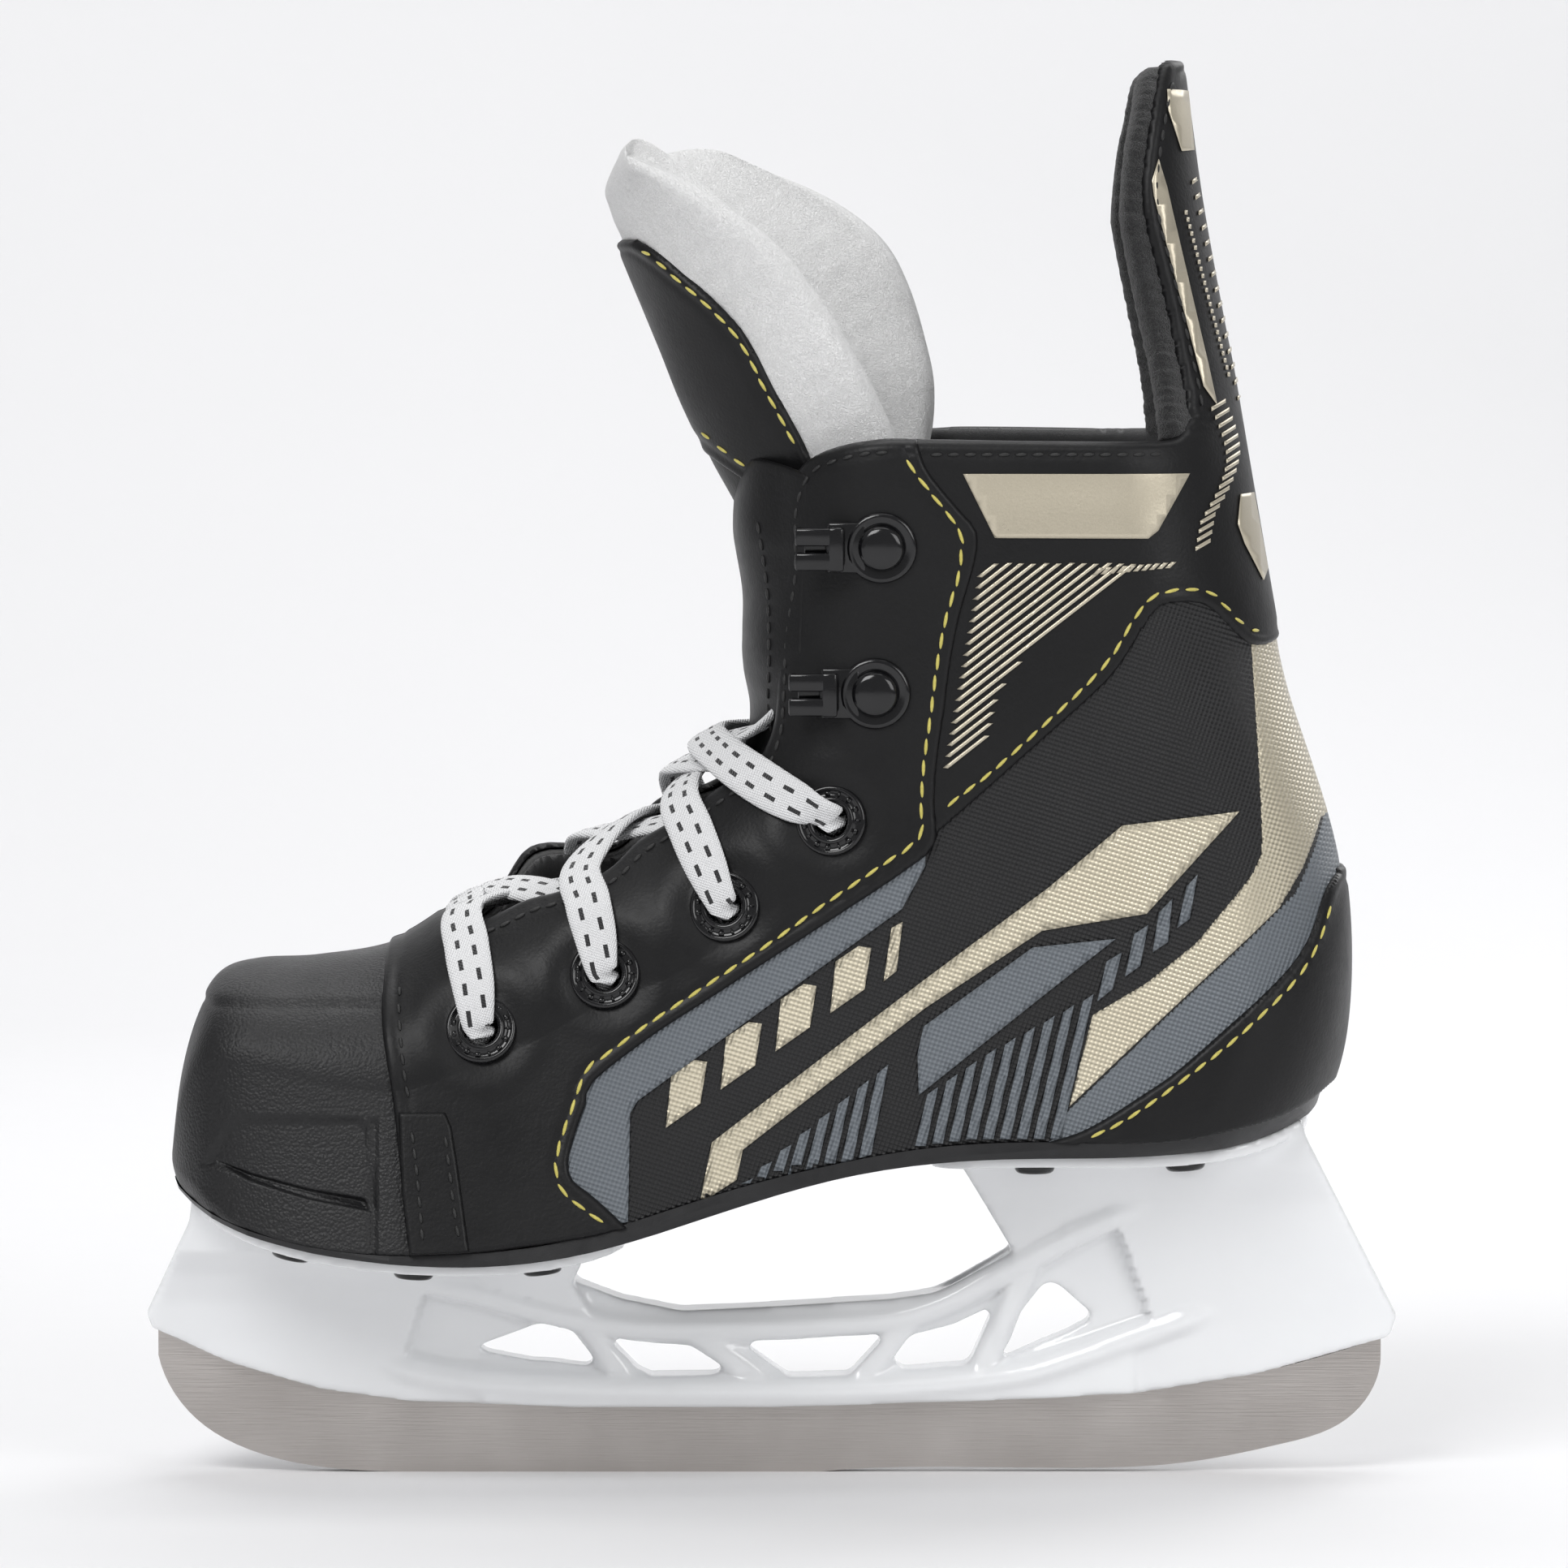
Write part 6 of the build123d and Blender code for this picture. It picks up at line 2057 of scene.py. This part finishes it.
    def thin_web(self, mesh: bpy.types.Mesh) -> None:
        """Set the web back between the chords and the struts."""
        places = np.array([v.co[:] for v in mesh.vertices]) / MM
        flat = places[:, [0, 2]]
        upper = smooth_path(self.upper_chord, 2.0)
        lower = smooth_path(self.lower_chord, 2.0)
        upper = upper[(upper[:, 0] > -58) & (upper[:, 0] < 58)]
        lower = lower[(lower[:, 0] > -62) & (lower[:, 0] < 64)]
        away = np.minimum(distance_to(flat, upper), distance_to(flat, lower))
        for line in self.struts:
            away = np.minimum(away, distance_to(flat, smooth_path(line, 1.0)) + 0.5)
        depth = smoothstep(away, 1.7, 3.4) * inside(flat, np.vstack([upper, lower[::-1]]))
        for vert, share in zip(mesh.vertices, depth):
            vert.co.y *= 1 - self.web_depth * share

    def ridge(self, bm: bmesh.types.BMesh, tree: BVHTree, line: Path, side: int, size: float) -> None:
        """Add one raised chord that follows the holder's wall."""
        spots = smooth_path(line, 2.0)
        depths = []
        for x, z in spots:
            hit = tree.ray_cast(Vector((x, 60.0 * side, z)), Vector((0, -side, 0)))[0]
            depths.append(abs(hit.y) if hit else 5.0)
        depths = np.array(depths)
        for _ in range(12):
            depths[1:-1] = (depths[:-2] + 2 * depths[1:-1] + depths[2:]) / 4
        fade = np.clip(np.minimum(np.arange(len(spots)), np.arange(len(spots))[::-1]) / 6, 0, 1)
        route = [Vector((x, side * (y - 0.45 * size - 0.5 + 0.5 * f), z)) for (x, z), y,
                 f in zip(spots, depths, fade)]
        rings = []
        for index, point in enumerate(route):
            before, after = route[max(0, index - 1)], route[min(len(route) - 1, index + 1)]
            turn = (after - before).to_track_quat("Z", "Y").to_matrix().to_4x4()
            radius = size * (0.3 + 0.7 * fade[index])
            made = bmesh.ops.create_circle(bm, cap_ends=index in (0, len(route) - 1), segments=10,
                                           radius=radius,
                                           matrix=Matrix.Translation(point) @ turn)
            rings.append([e for e in {e for v in made["verts"] for e in v.link_edges}
                          if e.other_vert(e.verts[0]) in made["verts"]])
        for one, other in zip(rings, rings[1:]):
            bmesh.ops.bridge_loops(bm, edges=[e for e in one + other if e.is_valid])

    def build(self) -> None:
        """Make the holder and dress the runner and the fixings."""
        finish_piece(self.rounded_holder(), "root", "blade_holder")
        for node, finish in (
            ("runner", STEEL), ("runner_bolts", PLAIN_METAL), ("runner_nuts", PLAIN_METAL),
            ("front_rivets", ENAMEL),
            ("rear_rivets", ENAMEL), ("rivet_washers", PLAIN_METAL), ("outsole", SOLE),
            ("insole_board", BOARD),
            ("footbed", FOOTBED),
        ):
            PAINT.dress(frame["nodes"][node], finish)


# ---------------------------------------------------------------- studio
@dataclass
class Studio:
    """Camera, soft lights and pale backdrop.

    Attributes:
        view_width: Width of the picture at the skate, in metres.
        target: Middle of the picture.
        lens: Focal length on a 36 mm wide sensor.
        elevation: Height of the view in degrees.
        turn: Turn of the view towards the heel, in degrees.
        lamps: Name, place, size, power and aim of each soft lamp; no aim means the skate.
    """

    view_width: float = 0.2579
    target: Point = (0.0020, -0.012, 0.1151)
    lens: float = 200.0
    elevation: float = 3.0
    turn: float = 0.0
    lamps: list[tuple] = field(default_factory=lambda: [
        ("key", (-0.55, -1.05, 1.05), 0.7, 12.0, None), ("fill", (0.9, -0.95, 0.6), 0.7, 5.5, None),
        ("top", (0.0, 0.1, 1.3), 0.9, 3.5, None), ("rim", (0.6, 0.8, 0.7), 0.6, 3.0, None),
        ("wall", (0.0, 0.7, 1.6), 1.2, 13.0, (0.0, 1.8, 0.5)),
    ])

    def camera(self) -> None:
        """Create the camera at the side of the skate."""
        data = bpy.data.cameras.new("side_view")
        data.lens = self.lens
        data.sensor_width = 36.0
        data.clip_end = 20.0
        distance = self.view_width * self.lens / data.sensor_width
        up, turn = math.radians(self.elevation), math.radians(self.turn)
        towards = Vector((math.sin(turn) * math.cos(up), -math.cos(turn) * math.cos(up), math.sin(up)))
        camera = bpy.data.objects.new("side_view", data)
        camera.location = Vector(self.target) + towards * distance
        camera.rotation_euler = (-towards).to_track_quat("-Z", "Y").to_euler()
        bpy.context.scene.collection.objects.link(camera)
        bpy.context.scene.camera = camera

    def lamp(self, name: str, place: Point, size: float, power: float, aim: Point | None) -> None:
        """Add a square soft lamp that looks at the skate, or at another place."""
        data = bpy.data.lights.new(name, "AREA")
        data.shape = "SQUARE"
        data.size = size
        data.energy = power
        lamp = bpy.data.objects.new(name, data)
        lamp.location = place
        lamp.rotation_euler = (Vector(aim or self.target)
                               - Vector(place)).to_track_quat("-Z", "Y").to_euler()
        bpy.context.scene.collection.objects.link(lamp)

    def backdrop(self) -> None:
        """Pale floor that the skate stands on, swept up to a wall behind it."""
        turns = [math.radians(a) for a in range(0, 91, 5)]
        profile = [(-2500.0, 0.0)] + [(900 + 900 * math.sin(t), 900 - 900 * math.cos(t))
                                      for t in turns] + [(1800.0, 3500.0)]
        bm = bmesh.new()
        bmesh.ops.create_grid(bm, x_segments=1, y_segments=len(profile) - 1, size=1.0)
        for vert in bm.verts:
            y, z = profile[round((vert.co.y + 1) / 2 * (len(profile) - 1))]
            vert.co = (vert.co.x * 3000.0, y, z)
        to_piece(bm, "floor", FLOOR)
        world = bpy.data.worlds.new("studio")
        world.use_nodes = True
        background = world.node_tree.nodes["Background"]
        background.inputs["Color"].default_value = (0.96, 0.96, 0.97, 1)
        background.inputs["Strength"].default_value = 0.33
        bpy.context.scene.world = world

    def build(self) -> None:
        """Set up the studio."""
        bpy.context.scene.view_settings.view_transform = "Standard"
        self.camera()
        self.backdrop()
        for name, place, size, power, aim in self.lamps:
            self.lamp(name, place, size, power, aim)


def write_sizes() -> None:
    """Bring the view layer up to date."""
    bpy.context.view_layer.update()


def main() -> None:
    """Build the studio and every sub-assembly in order."""
    logging.basicConfig(level=logging.INFO, format="%(name)s %(message)s")
    Studio().build()
    upper = Upper()
    upper.build()
    laces = Laces()
    laces.build(upper)
    ToeCap().build()
    Prints().build(upper)
    Flap().build()
    Tongue().build()
    Hardware().build(upper)
    Blade().build()
    write_sizes()


if __name__ == "__main__":
    main()
